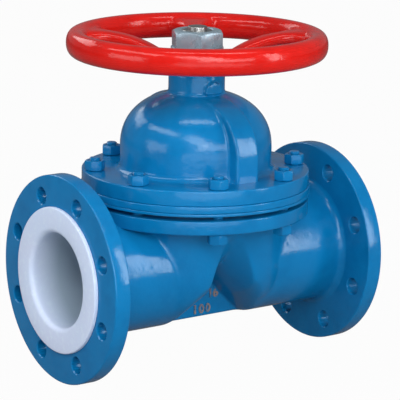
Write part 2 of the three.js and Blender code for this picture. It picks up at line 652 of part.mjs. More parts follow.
function bonnet() {
  const fillet = DOME_BASE_FILLET;
  const bend = 0.3 * fillet;
  const outside = turned([
    [0, BONNET_JOINT_TOP - PAST],
    [DOME_R + fillet, BONNET_JOINT_TOP - PAST],
    [DOME_R + fillet, BONNET_JOINT_TOP],
    [DOME_R + bend, BONNET_JOINT_TOP + bend],
    [DOME_R, BONNET_JOINT_TOP + fillet],
    ...domeArc(DOME_R, DOME_CROWN, NECK_R, CROWN_STEPS),
    [NECK_R, NECK_TOP - EDGE],
    [NECK_R - EDGE, NECK_TOP],
    [0, NECK_TOP],
  ]);
  const inner = DOME_R - DOME_WALL;
  const neckHole = STEM_NUT_R + GAP;
  const inside = turned([
    [0, BONNET_BOTTOM - PAST],
    [inner, BONNET_BOTTOM - PAST],
    ...domeArc(inner, DOME_CROWN - DOME_WALL, neckHole, CROWN_STEPS),
    [neckHole, NECK_TOP + PAST],
    [0, NECK_TOP + PAST],
  ]);
  const seatRadius = STEM_NUT_COLLAR / 2 + GAP;
  const collarSeat = rod(seatRadius, BONNET_JOINT_TOP, STEM_NUT_COLLAR_TOP + GAP, MEDIUM_ROUND);
  const guideWidth = LUG_WIDTH + 2 * SLIDE_GAP;
  const guideReach = LUG_REACH + SLIDE_GAP;
  const guideTop = LUG_TOP + STROKE + GUIDE_END;
  const guide = block(guideWidth, 2 * guideReach, BONNET_BOTTOM - PAST, guideTop);
  const frontRib = rib();
  return outside
    .add(disc(JOINT_DIAMETER, BONNET_BOTTOM, BONNET_JOINT_TOP, JOINT_CHAMFER))
    .add(frontRib)
    .add(frontRib.rotate([0, 0, 180]))
    .add(lockBoss())
    .subtract(inside)
    .subtract(collarSeat)
    .subtract(guide)
    .subtract(lockScrewHole(GAP, STEM_R, NECK_R + BOSS_PROUD + PAST))
    .subtract(jointHoles(BONNET_BOTTOM, BONNET_JOINT_TOP));
}

function stemNut() {
  const bottom = STEM_NUT_COLLAR_TOP - STEM_NUT_COLLAR_HEIGHT;
  const collar = STEM_NUT_COLLAR / 2;
  const blank = turned([
    [0, bottom],
    [collar, bottom],
    [collar, STEM_NUT_COLLAR_TOP],
    [STEM_NUT_R, STEM_NUT_COLLAR_TOP],
    [STEM_NUT_R, STEM_NUT_TOP],
    [0, STEM_NUT_TOP],
  ], MEDIUM_ROUND);
  return blank.subtract(rod(STEM_R + GAP, bottom - PAST, STEM_NUT_TOP + PAST, MEDIUM_ROUND));
}

function lockScrew() {
  return lockScrewHole(0, STEM_NUT_R + GAP, NECK_R + BOSS_PROUD + LOCK_SCREW_PROUD);
}

// ---- Handwheel ----------------------------------------------------------------------------------------
// Bends a cosine or sine towards a squarer outline.
function squared(value, exponent) {
  return Math.sign(value) * Math.abs(value) ** exponent;
}

function rim() {
  const exponent = 2 / RIM_ROUNDNESS;
  const unit = Array.from({ length: RIM_STEPS + 1 }, (_, k) => {
    const angle = (2 * Math.PI * (k + 0.5)) / RIM_STEPS;
    return [squared(Math.cos(angle), exponent), squared(Math.sin(angle), exponent)];
  });
  const wide = Math.max(...unit.map(([x]) => x));
  const tall = Math.max(...unit.map(([, y]) => y));
  const profile = unit.map(([x, y]) => (
    [RIM_R + (x / wide) * (RIM_WIDTH / 2), RIM_CENTRE + (y / tall) * (RIM_HEIGHT / 2)]
  ));
  return turned(profile, RIM_SIDES);
}

function spoke() {
  const hub = WHEEL_HUB_DIAMETER / 2;
  const rimInside = RIM_R - RIM_WIDTH / 2;
  const start = hub - SPOKE_INTO_HUB;
  const end = rimInside + SPOKE_INTO_RIM;
  const atHub = WHEEL_HUB_BOTTOM + SPOKE_HUB_INSET + SPOKE_THICKNESS / 2;
  return loft((t, angle, spread) => {
    const r = start + (end - start) * t;
    const share = THREE.MathUtils.clamp((r - hub) / (rimInside - hub), 0, 1);
    const flared = Math.max(0, share - SPOKE_FLARE_START) / (1 - SPOKE_FLARE_START);
    const halfWidth = SPOKE_WIDTH / 2 + SPOKE_FLARE * flared ** 2;
    const curve = RIM_CENTRE + SPOKE_RISE - SPOKE_DROP * (1 - share) ** SPOKE_CURVE;
    const y = halfWidth * squared(Math.cos(angle), SPOKE_SQUARENESS) * spread;
    const z = (SPOKE_THICKNESS / 2) * squared(Math.sin(angle), SPOKE_SQUARENESS) * spread;
    return new THREE.Vector3(r, y, Math.max(atHub, curve) + z);
  }, SPOKE_STATIONS, SPOKE_SECTION);
}

function handwheel() {
  const hubR = WHEEL_HUB_DIAMETER / 2;
  const hub = turned([
    [0, WHEEL_HUB_BOTTOM],
    [hubR - 2 * EDGE, WHEEL_HUB_BOTTOM],
    [hubR, WHEEL_HUB_BOTTOM + 2 * EDGE],
    [hubR, WHEEL_HUB_TOP - 2 * EDGE],
    [hubR - 2 * EDGE, WHEEL_HUB_TOP],
    [0, WHEEL_HUB_TOP],
  ], MEDIUM_ROUND);
  return joinAll([rim(), hub, ...aroundStem(SPOKES, SPOKE_PHASE, spoke)])
    .subtract(rod(SEAT_R + GAP, WHEEL_HUB_BOTTOM - PAST, WHEEL_HUB_TOP + PAST, MEDIUM_ROUND))
    .subtract(keyBar(GAP));
}

function wheelWasher() {
  const top = WASHER_BOTTOM + WASHER_THICKNESS;
  return rod(WASHER_DIAMETER / 2, WASHER_BOTTOM, top, MEDIUM_ROUND)
    .subtract(rod(STEM_END_DIAMETER / 2 + GAP, WASHER_BOTTOM - PAST, top + PAST, MEDIUM_ROUND));
}

function wheelNut() {
  const top = WHEEL_NUT_BOTTOM + WHEEL_NUT_HEIGHT;
  const corner = WHEEL_NUT_HEX / Math.sqrt(3) + GAP;
  const chamferRun = corner - WHEEL_NUT_TOP_DIAMETER / 2;
  const turnedTop = turned([
    [0, WHEEL_NUT_BOTTOM - PAST],
    [corner, WHEEL_NUT_BOTTOM - PAST],
    [corner, top - Math.tan(radians(NUT_CHAMFER)) * chamferRun],
    [corner - chamferRun, top],
    [0, top],
  ], MEDIUM_ROUND);
  return hexagon(WHEEL_NUT_HEX, WHEEL_NUT_BOTTOM, top, WHEEL_NUT_PHASE)
    .intersect(turnedTop)
    .subtract(rod(STEM_END_DIAMETER / 2 + GAP, WHEEL_NUT_BOTTOM - PAST, top + PAST, MEDIUM_ROUND));
}

// ---- Joint bolting ------------------------------------------------------------------------------------
function jointBolt() {
  return hexagon(BOLT_HEX, BOLT_HEAD_TOP - BOLT_HEAD, BOLT_HEAD_TOP)
    .add(rod(BOLT_DIAMETER / 2, BOLT_HEAD_TOP - PAST, NUT_TOP + BOLT_TIP, SMALL_ROUND))
    .translate([JOINT_BOLT_CIRCLE / 2, 0, 0]);
}

function jointStud() {
  return rod(BOLT_DIAMETER / 2, BODY_JOINT_BOTTOM + GAP, NUT_TOP + BOLT_TIP, SMALL_ROUND)
    .translate([JOINT_BOLT_CIRCLE / 2, 0, 0]);
}

function jointNut() {
  return hexagon(BOLT_HEX, NUT_BOTTOM, NUT_TOP)
    .subtract(rod(BOLT_DIAMETER / 2 + GAP, NUT_BOTTOM - PAST, NUT_TOP + PAST, SMALL_ROUND))
    .translate([JOINT_BOLT_CIRCLE / 2, 0, 0]);
}

// ---- Assembly -----------------------------------------------------------------------------------------
const LOOKS = {
  bluePaint: { color: 0x1f6fae, roughness: 0.35, metalness: 0.1 },
  redPaint: { color: 0xc8161d, roughness: 0.25, metalness: 0.1 },
  whiteLining: { color: 0xe9e7f2, roughness: 0.45, metalness: 0 },
  blackRubber: { color: 0x202124, roughness: 0.8, metalness: 0 },
  zincSteel: { color: 0xa9b0b4, roughness: 0.35, metalness: 0.9 },
  bareSteel: { color: 0x8b9094, roughness: 0.4, metalness: 0.9 },
  brass: { color: 0xb5913f, roughness: 0.35, metalness: 0.9 },
  castIron: { color: 0x55585b, roughness: 0.7, metalness: 0.5 },
};

const valve = new THREE.Group();

function place(name, shape, look) {
  const mesh = new THREE.Mesh(geometryOf(shape), new THREE.MeshStandardMaterial(LOOKS[look]));
  mesh.name = name;
  valve.add(mesh);
}

place('body', body(), 'bluePaint');
place('body_lining', bodyLining(), 'whiteLining');
place('diaphragm_face', diaphragmFace(), 'whiteLining');
place('diaphragm_backing', diaphragmBacking(), 'blackRubber');
place('diaphragm_stud', diaphragmStud(), 'bareSteel');
place('bonnet', bonnet(), 'bluePaint');
place('compressor', compressor(), 'castIron');
place('compressor_pin_left', pin(-1), 'bareSteel');
place('compressor_pin_right', pin(1), 'bareSteel');
place('stem', stem(), 'bareSteel');
place('stem_nut', stemNut(), 'brass');
place('stem_nut_lock_screw', lockScrew(), 'zincSteel');
place('handwheel', handwheel(), 'redPaint');
place('handwheel_key', keyBar(), 'bareSteel');
place('handwheel_washer', wheelWasher(), 'zincSteel');
place('handwheel_nut', wheelNut(), 'zincSteel');
aroundStem(JOINT_BOLTS, 180 / JOINT_BOLTS, (k) => (isStud(k) ? jointStud() : jointBolt()))
  .forEach((shape, k) => place(`joint_${isStud(k) ? 'stud' : 'bolt'}_${k + 1}`, shape, 'bluePaint'));
aroundStem(JOINT_BOLTS, 180 / JOINT_BOLTS, jointNut)
  .forEach((shape, k) => place(`joint_nut_${k + 1}`, shape, 'bluePaint'));

export default valve;
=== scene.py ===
# A lined weir-type diaphragm valve in a plain studio: blue enamelled castings, red handwheel, bright zinc nut
# and a white lining. Metres, +Z up, X along the pipe.
import math

import bmesh
import bpy
from mathutils import Matrix, Vector


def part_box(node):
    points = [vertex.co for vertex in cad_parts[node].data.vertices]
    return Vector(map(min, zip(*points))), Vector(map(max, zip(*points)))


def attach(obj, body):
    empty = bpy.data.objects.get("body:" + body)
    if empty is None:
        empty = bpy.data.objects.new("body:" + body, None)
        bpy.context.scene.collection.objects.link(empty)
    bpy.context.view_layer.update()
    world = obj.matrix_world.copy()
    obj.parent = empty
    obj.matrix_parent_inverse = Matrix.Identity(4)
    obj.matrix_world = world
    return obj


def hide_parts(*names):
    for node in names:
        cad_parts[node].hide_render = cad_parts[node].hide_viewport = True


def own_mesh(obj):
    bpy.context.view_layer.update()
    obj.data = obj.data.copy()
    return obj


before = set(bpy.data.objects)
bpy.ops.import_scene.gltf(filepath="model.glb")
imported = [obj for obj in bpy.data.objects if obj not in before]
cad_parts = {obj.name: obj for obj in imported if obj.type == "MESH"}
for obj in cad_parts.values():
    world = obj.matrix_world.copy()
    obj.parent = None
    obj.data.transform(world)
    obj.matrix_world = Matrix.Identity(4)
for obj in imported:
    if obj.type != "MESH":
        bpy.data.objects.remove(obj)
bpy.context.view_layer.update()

MM = 0.001
scene = bpy.context.scene

# ---- Places that the frame gives -----------------------------------------------------------------
body_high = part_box("body")[1]
lining_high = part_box("body_lining")[1]
face_low, face_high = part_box("diaphragm_face")
backing_low, backing_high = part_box("diaphragm_backing")
bonnet_low, bonnet_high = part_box("bonnet")
stem_low, stem_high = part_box("stem")
stem_nut_low, stem_nut_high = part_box("stem_nut")
wheel_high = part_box("handwheel")[1]
washer_low, washer_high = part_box("handwheel_washer")
wheel_hub_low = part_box("handwheel_key")[0].z - MM
wheel_nut_low, wheel_nut_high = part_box("handwheel_nut")
joint_nut_low, joint_nut_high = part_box("joint_nut_1")
stud_low, stud_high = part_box("joint_stud_1")
bolt_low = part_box("joint_bolt_2")[0]

# ---- Sizes that shape the pieces -----------------------------------------------------------------
AXIS_Z = 110 * MM
FACE_X = lining_high.x
METAL_X = body_high.x
GAP = 0.3 * MM
WELD = 0.004 * MM  # points nearer than this are one

BORE_R = 50 * MM
LINING_WALL = 5 * MM
IRON_BORE_R = BORE_R + LINING_WALL + GAP
PIPE_R = 65 * MM
FLANGE_R = 110 * MM
FLANGE_THICKNESS = 18 * MM
FLANGE_FILLET = 8 * MM
FLANGE_EDGE = 1.6 * MM
FLANGE_HOLE_R = 9 * MM
FLANGE_HOLE_CIRCLE_R = 90 * MM
FLANGE_HOLES = 8
FLANGE_BACK = METAL_X - FLANGE_THICKNESS
FILLET_DISC_R = 78 * MM  # the casting's own disc, hidden inside the crisp end flange
SEAT_R = 77 * MM
SEAT_EDGE = 1.6 * MM
MOUTH_ROUND = 5.5 * MM

WEIR_TOP = face_low.z - GAP
FACE_SHEET = 3.2 * MM
DECK_TOP = face_high.z - FACE_SHEET - GAP
WEIR_FOOT = 62 * MM
OPENING_HALF_LENGTH = 80 * MM
OPENING_HALF_WIDTH = 60 * MM
OPENING_EXPONENT = 3
THROAT_POWER = 1.3
SLOPE_WALL_ALONG = 0.7  # shares of the wall that set its outside off along and below the slope
SLOPE_WALL_BELOW = 0.75
BOWL_HALF_LENGTH = 88 * MM
BOWL_HALF_WIDTH = 74 * MM
BOWL_TUCK = 5 * MM
BOWL_END = 64 * MM
BOWL_EXPONENT = 3.4
BOWL_LOW_RISE = 3
BOWL_WIDEST_RISE = 1.6
BOWL_INTO_JOINT = 4 * MM
TIP_INSET = 0.4 * MM  # how far short of its tip a skin of sections ends
ARCH_TOP = 100 * MM
ARCH_HALF_SPAN = 55 * MM
ARCH_SHOULDER = 60 * MM
ARCH_SHOULDER_SPAN = 28 * MM
ARCH_PAST = 2 * MM
WEB_HALF_THICKNESS = 6 * MM
BODY_VOXEL = 1.7 * MM
DECK_R = 97 * MM
DECK_EDGE = 0.8 * MM
SLEEVE = 8 * MM

JOINT_R = body_high.y
JOINT_BOTTOM = stud_low.z - GAP
JOINT_THICKNESS = 15 * MM
BODY_JOINT_TOP = JOINT_BOTTOM + JOINT_THICKNESS
JOINT_INNER_R = OPENING_HALF_WIDTH + 10 * MM
JOINT_EDGE = 1.6 * MM
JOINT_BOLT_CIRCLE_R = 109 * MM
JOINT_BOLTS = 8
STUD_PLACES = (1, 4, 5, 8)
BOLT_R = 6 * MM
JOINT_HOLE_R = BOLT_R + 0.6 * MM
BOLT_THREAD_DEPTH = 0.9 * MM
NUT_TOP_R = 9.2 * MM
NUT_TILT = math.radians(28)
NUT_EDGE = 0.35 * MM
BOLT_FLATS = 19 * MM
BOLT_INTO_HEAD = 4 * MM
BOLT_PITCH = 1.75 * MM

CUP_R = 58.2 * MM
DOME_R = 81 * MM
DOME_STRAIGHT = 22 * MM
DOME_CROWN = 62 * MM
DOME_ROUNDNESS = 2.3
DOME_WALL = 9 * MM
DOME_FOOT = 7 * MM
RIB_HALF_WIDTH = 14 * MM
RIB_PROUD = 14 * MM
RIB_DIP = 2 * MM
RIB_INTO_NECK = 4 * MM
NECK_R = 30 * MM
BONNET_JOINT_TOP = joint_nut_low.z - GAP
BONNET_SKIRT = BONNET_JOINT_TOP - 6 * MM
BONNET_VOXEL = 1.15 * MM
BONNET_SOFT_TOP = 287 * MM  # below the crisp boss
NECK_HOLE_R = 24.3 * MM
NUT_SEAT_TOP = 283.6 * MM
GUIDE_WIDTH = 19.6 * MM
GUIDE_SPAN = 161.6 * MM
GUIDE_TOP = 254 * MM
CROWN_START = BONNET_JOINT_TOP + DOME_STRAIGHT
LOCK_SCREW_Z = 301 * MM
LOCK_SCREW_R = 4 * MM
LOCK_SCREW_BACK = -24.4 * MM
LOCK_SCREW_TURN = math.radians(25)
SLOT_WIDTH = 1.3 * MM
SLOT_DEPTH = 2.4 * MM
BOSS_HALF_WIDTH = 10.5 * MM
BOSS_HEIGHT = 13 * MM
BOSS_PROUD = 3.4 * MM

STEM_R = 18 * MM
STEM_NUT_R = 24 * MM
STEM_NUT_SHELF = 283.3 * MM
GROOVE_R = 12.5 * MM
GROOVE_LOW = 191.9 * MM
GROOVE_HIGH = 200.1 * MM
STEM_THREAD_DEPTH = 3 * MM
END_THREAD_DEPTH = 0.8 * MM
STEM_PITCH = 6 * MM
STEM_SEAT_R = 17 * MM
STEM_END_R = 16.5 * MM
STEM_END_PITCH = 2 * MM
STEM_TIP_R = 10.5 * MM
STEM_TIP = 4 * MM
HUB_R = 29 * MM
RIM_WIDTH = 22 * MM
RIM_HEIGHT = 28 * MM
RIM_R = wheel_high.x - RIM_WIDTH / 2
RIM_Z = wheel_high.z - RIM_HEIGHT / 2
RIM_ROUNDNESS = 2.3
HUB_HEIGHT = 21 * MM
HUB_EDGE = 2.5 * MM
WHEEL_VOXEL = 1.25 * MM
SPOKES = 5
SPOKE_PHASE = math.radians(58)
SPOKE_HALF_WIDTH = 11 * MM
SPOKE_HALF_THICKNESS = 6.5 * MM
SPOKE_RISE = 1.5 * MM
SPOKE_DROP = 25 * MM
SPOKE_FLARE = 17 * MM
SPOKE_INTO_HUB = 8 * MM
SPOKE_INTO_RIM = 5 * MM
SPOKE_OVER_FOOT = 2 * MM
SPOKE_SQUARENESS = 0.7
SPOKE_DIP_POWER = 2.5
FLARE_START = 0.66  # shares of the way from hub to rim
FLARE_LENGTH = 0.34
FLARE_POWER = 2.6
FLARE_THICKENING = 1.2 * MM
ROOT_LENGTH = 0.16
ROOT_FLARE = 5 * MM
WHEEL_NUT_FLATS = 50 * MM
WHEEL_NUT_TOP_R = 23.75 * MM
WHEEL_NUT_TILT = math.radians(29)
WHEEL_NUT_TURN = math.radians(4)


# ---- Making meshes -------------------------------------------------------------------------------
def piece_of(bm, name):
    """An object of the shape, its doubles merged and its faces turned outwards."""
    bmesh.ops.remove_doubles(bm, verts=bm.verts, dist=WELD)
    bmesh.ops.recalc_face_normals(bm, faces=bm.faces)
    mesh = bpy.data.meshes.new(name)
    bm.to_mesh(mesh)
    bm.free()
    piece = bpy.data.objects.new(name, mesh)
    scene.collection.objects.link(piece)
    return piece


def rounded(points, steps=5):
    """Profile points, where a third number rounds that corner to an arc of that radius."""
    profile = []
    for k, point in enumerate(points):
        if len(point) == 2:
            profile.append(tuple(point))
            continue
        corner = Vector(point[:2])
        before = (Vector(points[k - 1][:2]) - corner).normalized()
        after = (Vector(points[(k + 1) % len(points)][:2]) - corner).normalized()
        half = before.angle(after) / 2
        radius = point[2]
        centre = corner + (before + after).normalized() * (radius / math.sin(half))
        start = corner + before * (radius / math.tan(half)) - centre
        end = corner + after * (radius / math.tan(half)) - centre
        first = math.atan2(start.y, start.x)
        turn = (math.atan2(end.y, end.x) - first + math.pi) % math.tau - math.pi
        for step in range(steps + 1):
            angle = first + turn * step / steps
            profile.append((centre.x + radius * math.cos(angle), centre.y + radius * math.sin(angle)))
    return profile


def turned(points, steps=128, ring=False):
    """A solid turned about Z from (radius, height) points; a ring's profile closes on itself."""
    bm = bmesh.new()
    verts = [bm.verts.new((r, 0, z)) for r, z in rounded(points)]
    edges = [bm.edges.new(pair) for pair in zip(verts, verts[1:])]
    if ring:
        edges.append(bm.edges.new((verts[-1], verts[0])))
    bmesh.ops.spin(bm, geom=verts + edges, axis=(0, 0, 1), cent=(0, 0, 0), angle=math.tau, steps=steps,
                   use_merge=True)
    return piece_of(bm, "turned")


def on_pipe(piece):
    """Lays a shape turned about Z on the pipe's axis, its height along +X."""
    piece.data.transform(Matrix.Translation((0, 0, AXIS_Z)) @ Matrix.Rotation(math.pi / 2, 4, "Y"))
    return piece


def lofted(place, stations, sides):
    """A closed skin through sections; place(share, angle) gives a point of the section at that share."""
    bm = bmesh.new()
    bmesh.ops.create_grid(bm, x_segments=stations, y_segments=sides, size=0.5)
    for vert in bm.verts:
        vert.co = place(vert.co.x + 0.5, math.tau * (vert.co.y + 0.5))
    bmesh.ops.remove_doubles(bm, verts=bm.verts, dist=WELD)
    bmesh.ops.holes_fill(bm, edges=[edge for edge in bm.edges if edge.is_boundary])
    return piece_of(bm, "lofted")


def block(size, centre):
    """A box of that size round a centre."""
    bm = bmesh.new()
    bmesh.ops.create_cube(bm, size=1, matrix=Matrix.Translation(centre) @ Matrix.Diagonal((*size, 1)))
    return piece_of(bm, "block")


def moved(piece, matrix):
    piece.data.transform(matrix)
    return piece


def around_stem(angle):
    return Matrix.Rotation(angle, 4, "Z")


def settled(piece):
    """Turns a piece's modifiers into its mesh."""
    evaluated = piece.evaluated_get(bpy.context.evaluated_depsgraph_get())
    mesh = bpy.data.meshes.new_from_object(evaluated)
    piece.modifiers.clear()
    piece.data = mesh
    return piece


def combined(piece, tool, operation):
    modifier = piece.modifiers.new(operation, "BOOLEAN")
    modifier.operation = operation
    modifier.solver = "EXACT"
    modifier.object = tool
    settled(piece)
    bpy.data.objects.remove(tool)
    return piece


def cut(piece, tool):
    return combined(piece, tool, "DIFFERENCE")


def joined(name, *shapes):
    """One object of several shapes, their meshes side by side."""
    bm = bmesh.new()
    for shape in shapes:
        bm.from_mesh(shape.data)
        bpy.data.objects.remove(shape)
    mesh = bpy.data.meshes.new(name)
    bm.to_mesh(mesh)
    bm.free()
    piece = bpy.data.objects.new(name, mesh)
    scene.collection.objects.link(piece)
    return piece


def cast(piece, voxel, rounds, soft=None, soft_rounds=0):
    """Melts overlapping shapes into one casting and softens it; soft(co) picks where it is softened further."""
    modifier = piece.modifiers.new("cast", "REMESH")
    modifier.mode = "VOXEL"
    modifier.voxel_size = voxel
    settled(piece)
    bm = bmesh.new()
    bm.from_mesh(piece.data)
    all_ways = {"use_axis_x": True, "use_axis_y": True, "use_axis_z": True}
    for _ in range(rounds):
        bmesh.ops.smooth_vert(bm, verts=bm.verts, factor=0.5, **all_ways)
    chosen = [vert for vert in bm.verts if soft and soft(vert.co)]
    for _ in range(soft_rounds):
        bmesh.ops.smooth_vert(bm, verts=chosen, factor=0.5, **all_ways)
    bm.to_mesh(piece.data)
    bm.free()
    return piece


def bevelled(piece, width, segments=2, angle=math.radians(35)):
    modifier = piece.modifiers.new("edge", "BEVEL")
    modifier.width = width
    modifier.segments = segments
    modifier.limit_method = "ANGLE"
    modifier.angle_limit = angle
    return settled(piece)


def finished(piece, name, material, body, nodes, crease=math.radians(32)):
    """Names, shades, paints and seats a piece on its CAD body."""
    piece.name = name
    piece.data.name = name
    piece.data.shade_smooth()
    piece.data.set_sharp_from_angle(angle=crease)
    piece.data.materials.clear()
    piece.data.materials.append(material)
    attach(piece, body)
    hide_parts(*nodes)
    return piece


# ---- Materials -----------------------------------------------------------------------------------
class Finish:
    """A procedural material on Object coordinates, built from few kinds of node."""

    def __init__(self, name, colour, roughness, **sockets):
        self.material = bpy.data.materials.new(name)
        self.material.use_nodes = True
        self.tree = self.material.node_tree
        self.shader = self.tree.nodes["Principled BSDF"]
        self.colour = colour
        self.shader.inputs["Base Color"].default_value = (*colour, 1)
        self.shader.inputs["Roughness"].default_value = roughness
        for socket, value in sockets.items():
            self.shader.inputs[socket.replace("_", " ")].default_value = value
        self.coordinates = self.node("ShaderNodeTexCoord").outputs["Object"]
        self.normal = None

    def node(self, kind, **inputs):
        made = self.tree.nodes.new(kind)
        for socket, value in inputs.items():
            target = made.inputs[socket.replace("_", " ")]
            if isinstance(value, bpy.types.NodeSocket):
                self.tree.links.new(value, target)
            else:
                target.default_value = value
        return made

    def noise(self, scale, detail=3.0, rough=0.5, stretch=(1, 1, 1)):
        mapping = self.node("ShaderNodeMapping", Vector=self.coordinates, Scale=stretch)
        return self.node("ShaderNodeTexNoise", Vector=mapping.outputs[0], Scale=scale, Detail=detail,
                         Roughness=rough).outputs["Fac"]

    def ramp(self, source, low, high, start=0.35, end=0.65):
        made = self.node("ShaderNodeMapRange", Value=source, From_Min=start, From_Max=end,
                         To_Min=low, To_Max=high)
        return made.outputs[0]

    def tint(self, source, other, start=0.35, end=0.65):
        """Mixes the base colour towards another where the source is high."""
        mix = self.tree.nodes.new("ShaderNodeMix")
        mix.data_type = "RGBA"
        self.tree.links.new(self.ramp(source, 0, 1, start, end), mix.inputs["Factor"])
        first, second = (socket for socket in mix.inputs if socket.type == "RGBA")
        base = self.shader.inputs["Base Color"]
        if base.is_linked:
            self.tree.links.new(base.links[0].from_socket, first)
        else:
            first.default_value = (*self.colour, 1)
        second.default_value = (*other, 1)
        result = next(socket for socket in mix.outputs if socket.type == "RGBA")
        self.tree.links.new(result, base)

    def gloss(self, source, low, high, start=0.3, end=0.7):
        self.tree.links.new(self.ramp(source, low, high, start, end), self.shader.inputs["Roughness"])

    def bump(self, source, depth, strength=1.0):
        made = self.node("ShaderNodeBump", Height=source, Distance=depth, Strength=strength)
        if self.normal:
            self.tree.links.new(self.normal, made.inputs["Normal"])
        self.normal = made.outputs["Normal"]
        self.tree.links.new(self.normal, self.shader.inputs["Normal"])


def enamel(name, colour, light, dark, tint):
    """Glossy enamel on a sand casting: a soft waviness, orange peel and slight changes of shade."""
    paint = Finish(name, colour, 0.2, IOR=1.4, Specular_Tint=tint)
    paint.tint(paint.noise(9, 4, 0.6), light, 0.4, 0.75)
    paint.tint(paint.noise(23, 5, 0.6), dark, 0.48, 0.78)
    paint.gloss(paint.noise(32, 4), 0.1, 0.2)
    paint.bump(paint.noise(30, 2, 0.5), 1.6 * MM, 0.4)
    paint.bump(paint.noise(130, 3, 0.6), 0.45 * MM, 0.5)
    paint.bump(paint.noise(290, 2, 0.5), 0.16 * MM, 0.5)
    return paint.material


def lining_plastic():
    plastic = Finish("white_lining", (0.60, 0.71, 0.91), 0.36, IOR=1.4)
    plastic.tint(plastic.noise(14, 4, 0.6), (0.62, 0.68, 0.87), 0.4, 0.8)
    plastic.tint(plastic.noise(160, 3, 0.6), (0.67, 0.78, 0.93), 0.5, 0.8)
    plastic.gloss(plastic.noise(60, 4), 0.32, 0.5)
    plastic.bump(plastic.noise(90, 3, 0.5), 0.3 * MM, 0.25)
    plastic.bump(plastic.noise(900, 2, 0.5), 0.05 * MM, 0.3)
    # Painted shade: the lining's colour darkens from the end faces into the passage, along X, standing in for the
    # shade inside the bore.
    place = plastic.node("ShaderNodeSeparateXYZ", Vector=plastic.coordinates).outputs["X"]
    depth = plastic.node("ShaderNodeMath", Value=place)
    depth.operation = "ABSOLUTE"
    plastic.tint(depth.outputs[0], (0.36, 0.46, 0.56), 172 * MM, 140 * MM)
    return plastic.material


def zinc():
    steel = Finish("zinc_steel", (0.34, 0.46, 0.54), 0.34, Metallic=0.5)
    steel.tint(steel.noise(70, 5, 0.65), (0.27, 0.37, 0.44), 0.4, 0.7)
    steel.tint(steel.noise(260, 3, 0.6), (0.47, 0.50, 0.52), 0.55, 0.8)
    steel.gloss(steel.noise(120, 4, 0.6), 0.22, 0.42)
    steel.bump(steel.noise(520, 3, 0.6), 0.06 * MM, 0.4)
    return steel.material


def turned_steel():
    steel = Finish("bare_steel", (0.33, 0.34, 0.34), 0.36, Metallic=1.0)
    rings = steel.noise(6, 2, 0.5, (12, 12, 400))
    steel.gloss(rings, 0.22, 0.4)
    steel.tint(steel.noise(40, 4), (0.27, 0.27, 0.26), 0.4, 0.75)
    steel.bump(rings, 0.03 * MM, 0.5)
    return steel.material


def turned_brass():
    brass = Finish("brass", (0.66, 0.46, 0.17), 0.28, Metallic=1.0)
    rings = brass.noise(6, 2, 0.5, (12, 12, 400))
    brass.gloss(rings, 0.2, 0.38)
    brass.tint(brass.noise(50, 4), (0.50, 0.33, 0.12), 0.45, 0.8)
    brass.bump(rings, 0.03 * MM, 0.5)
    return brass.material


def bare_iron():
    iron = Finish("bare_iron", (0.075, 0.078, 0.08), 0.62, Metallic=0.6)
    iron.tint(iron.noise(30, 6, 0.7), (0.13, 0.12, 0.115), 0.4, 0.75)
    iron.gloss(iron.noise(90, 4), 0.5, 0.75)
    iron.bump(iron.noise(260, 5, 0.65), 0.3 * MM, 0.6)
    return iron.material


def moulded_rubber():
    rubber = Finish("black_rubber", (0.018, 0.018, 0.02), 0.6)
    rubber.tint(rubber.noise(40, 4), (0.035, 0.035, 0.038), 0.4, 0.75)
    rubber.gloss(rubber.noise(80, 3), 0.5, 0.72)
    rubber.bump(rubber.noise(600, 3, 0.6), 0.08 * MM, 0.5)
    return rubber.material


def worn_enamel():
    """The enamel of the cast figures, worn to its brown undercoat here and there."""
    paint = Finish("worn_blue", (0.035, 0.130, 0.260), 0.3, IOR=1.32)
    paint.tint(paint.noise(150, 3, 0.6), (0.26, 0.20, 0.18), 0.4, 0.58)
    paint.bump(paint.noise(420, 2, 0.5), 0.12 * MM, 0.35)
    return paint.material


BLUE = enamel("blue_enamel", (0.002, 0.160, 0.395), (0.004, 0.180, 0.435), (0.001, 0.130, 0.335),
              (0.78, 0.9, 1, 1))
RED = enamel("red_enamel", (0.580, 0.008, 0.005), (0.640, 0.012, 0.008), (0.470, 0.007, 0.004),
             (1, 0.9, 0.9, 1))
WORN_BLUE = worn_enamel()
LINING = lining_plastic()
ZINC = zinc()
STEEL = turned_steel()
BRASS = turned_brass()
IRON = bare_iron()
RUBBER = moulded_rubber()
FINISHES = {
    "blue_enamel": BLUE,
    "red_enamel": RED,
    "white_lining": LINING,
    "zinc_steel": ZINC,
    "bare_steel": STEEL,
    "brass": BRASS,
    "bare_iron": IRON,
    "black_rubber": RUBBER,
}


# ---- Passage -------------------------------------------------------------------------------------
def superellipse(v, a, b, exponent):
    return a * max(0.0, 1 - (abs(v) / b) ** exponent) ** (1 / exponent)


def floor_height(x):
    """The passage's floor at mid width, which rises to the weir on a cosine."""
    share = max(0.0, 1 - abs(x) / WEIR_FOOT)
    low = AXIS_Z - BORE_R
    return low + (WEIR_TOP - low) * (1 - math.cos(math.pi * share)) / 2


def u_section(x, half_width, widest, floor, top, angle, corner):
    """A half ellipse below the widest line, with upright sides and a flat top."""
    across, rise = math.cos(angle), math.sin(angle)
    if rise <= 0:
        return Vector((x, half_width * across, widest + (widest - floor) * rise))
    across = max(-1.0, min(1.0, across / math.cos(corner)))
    return Vector((x, half_width * across, widest + (top - widest) * min(1.0, rise / math.sin(corner))))


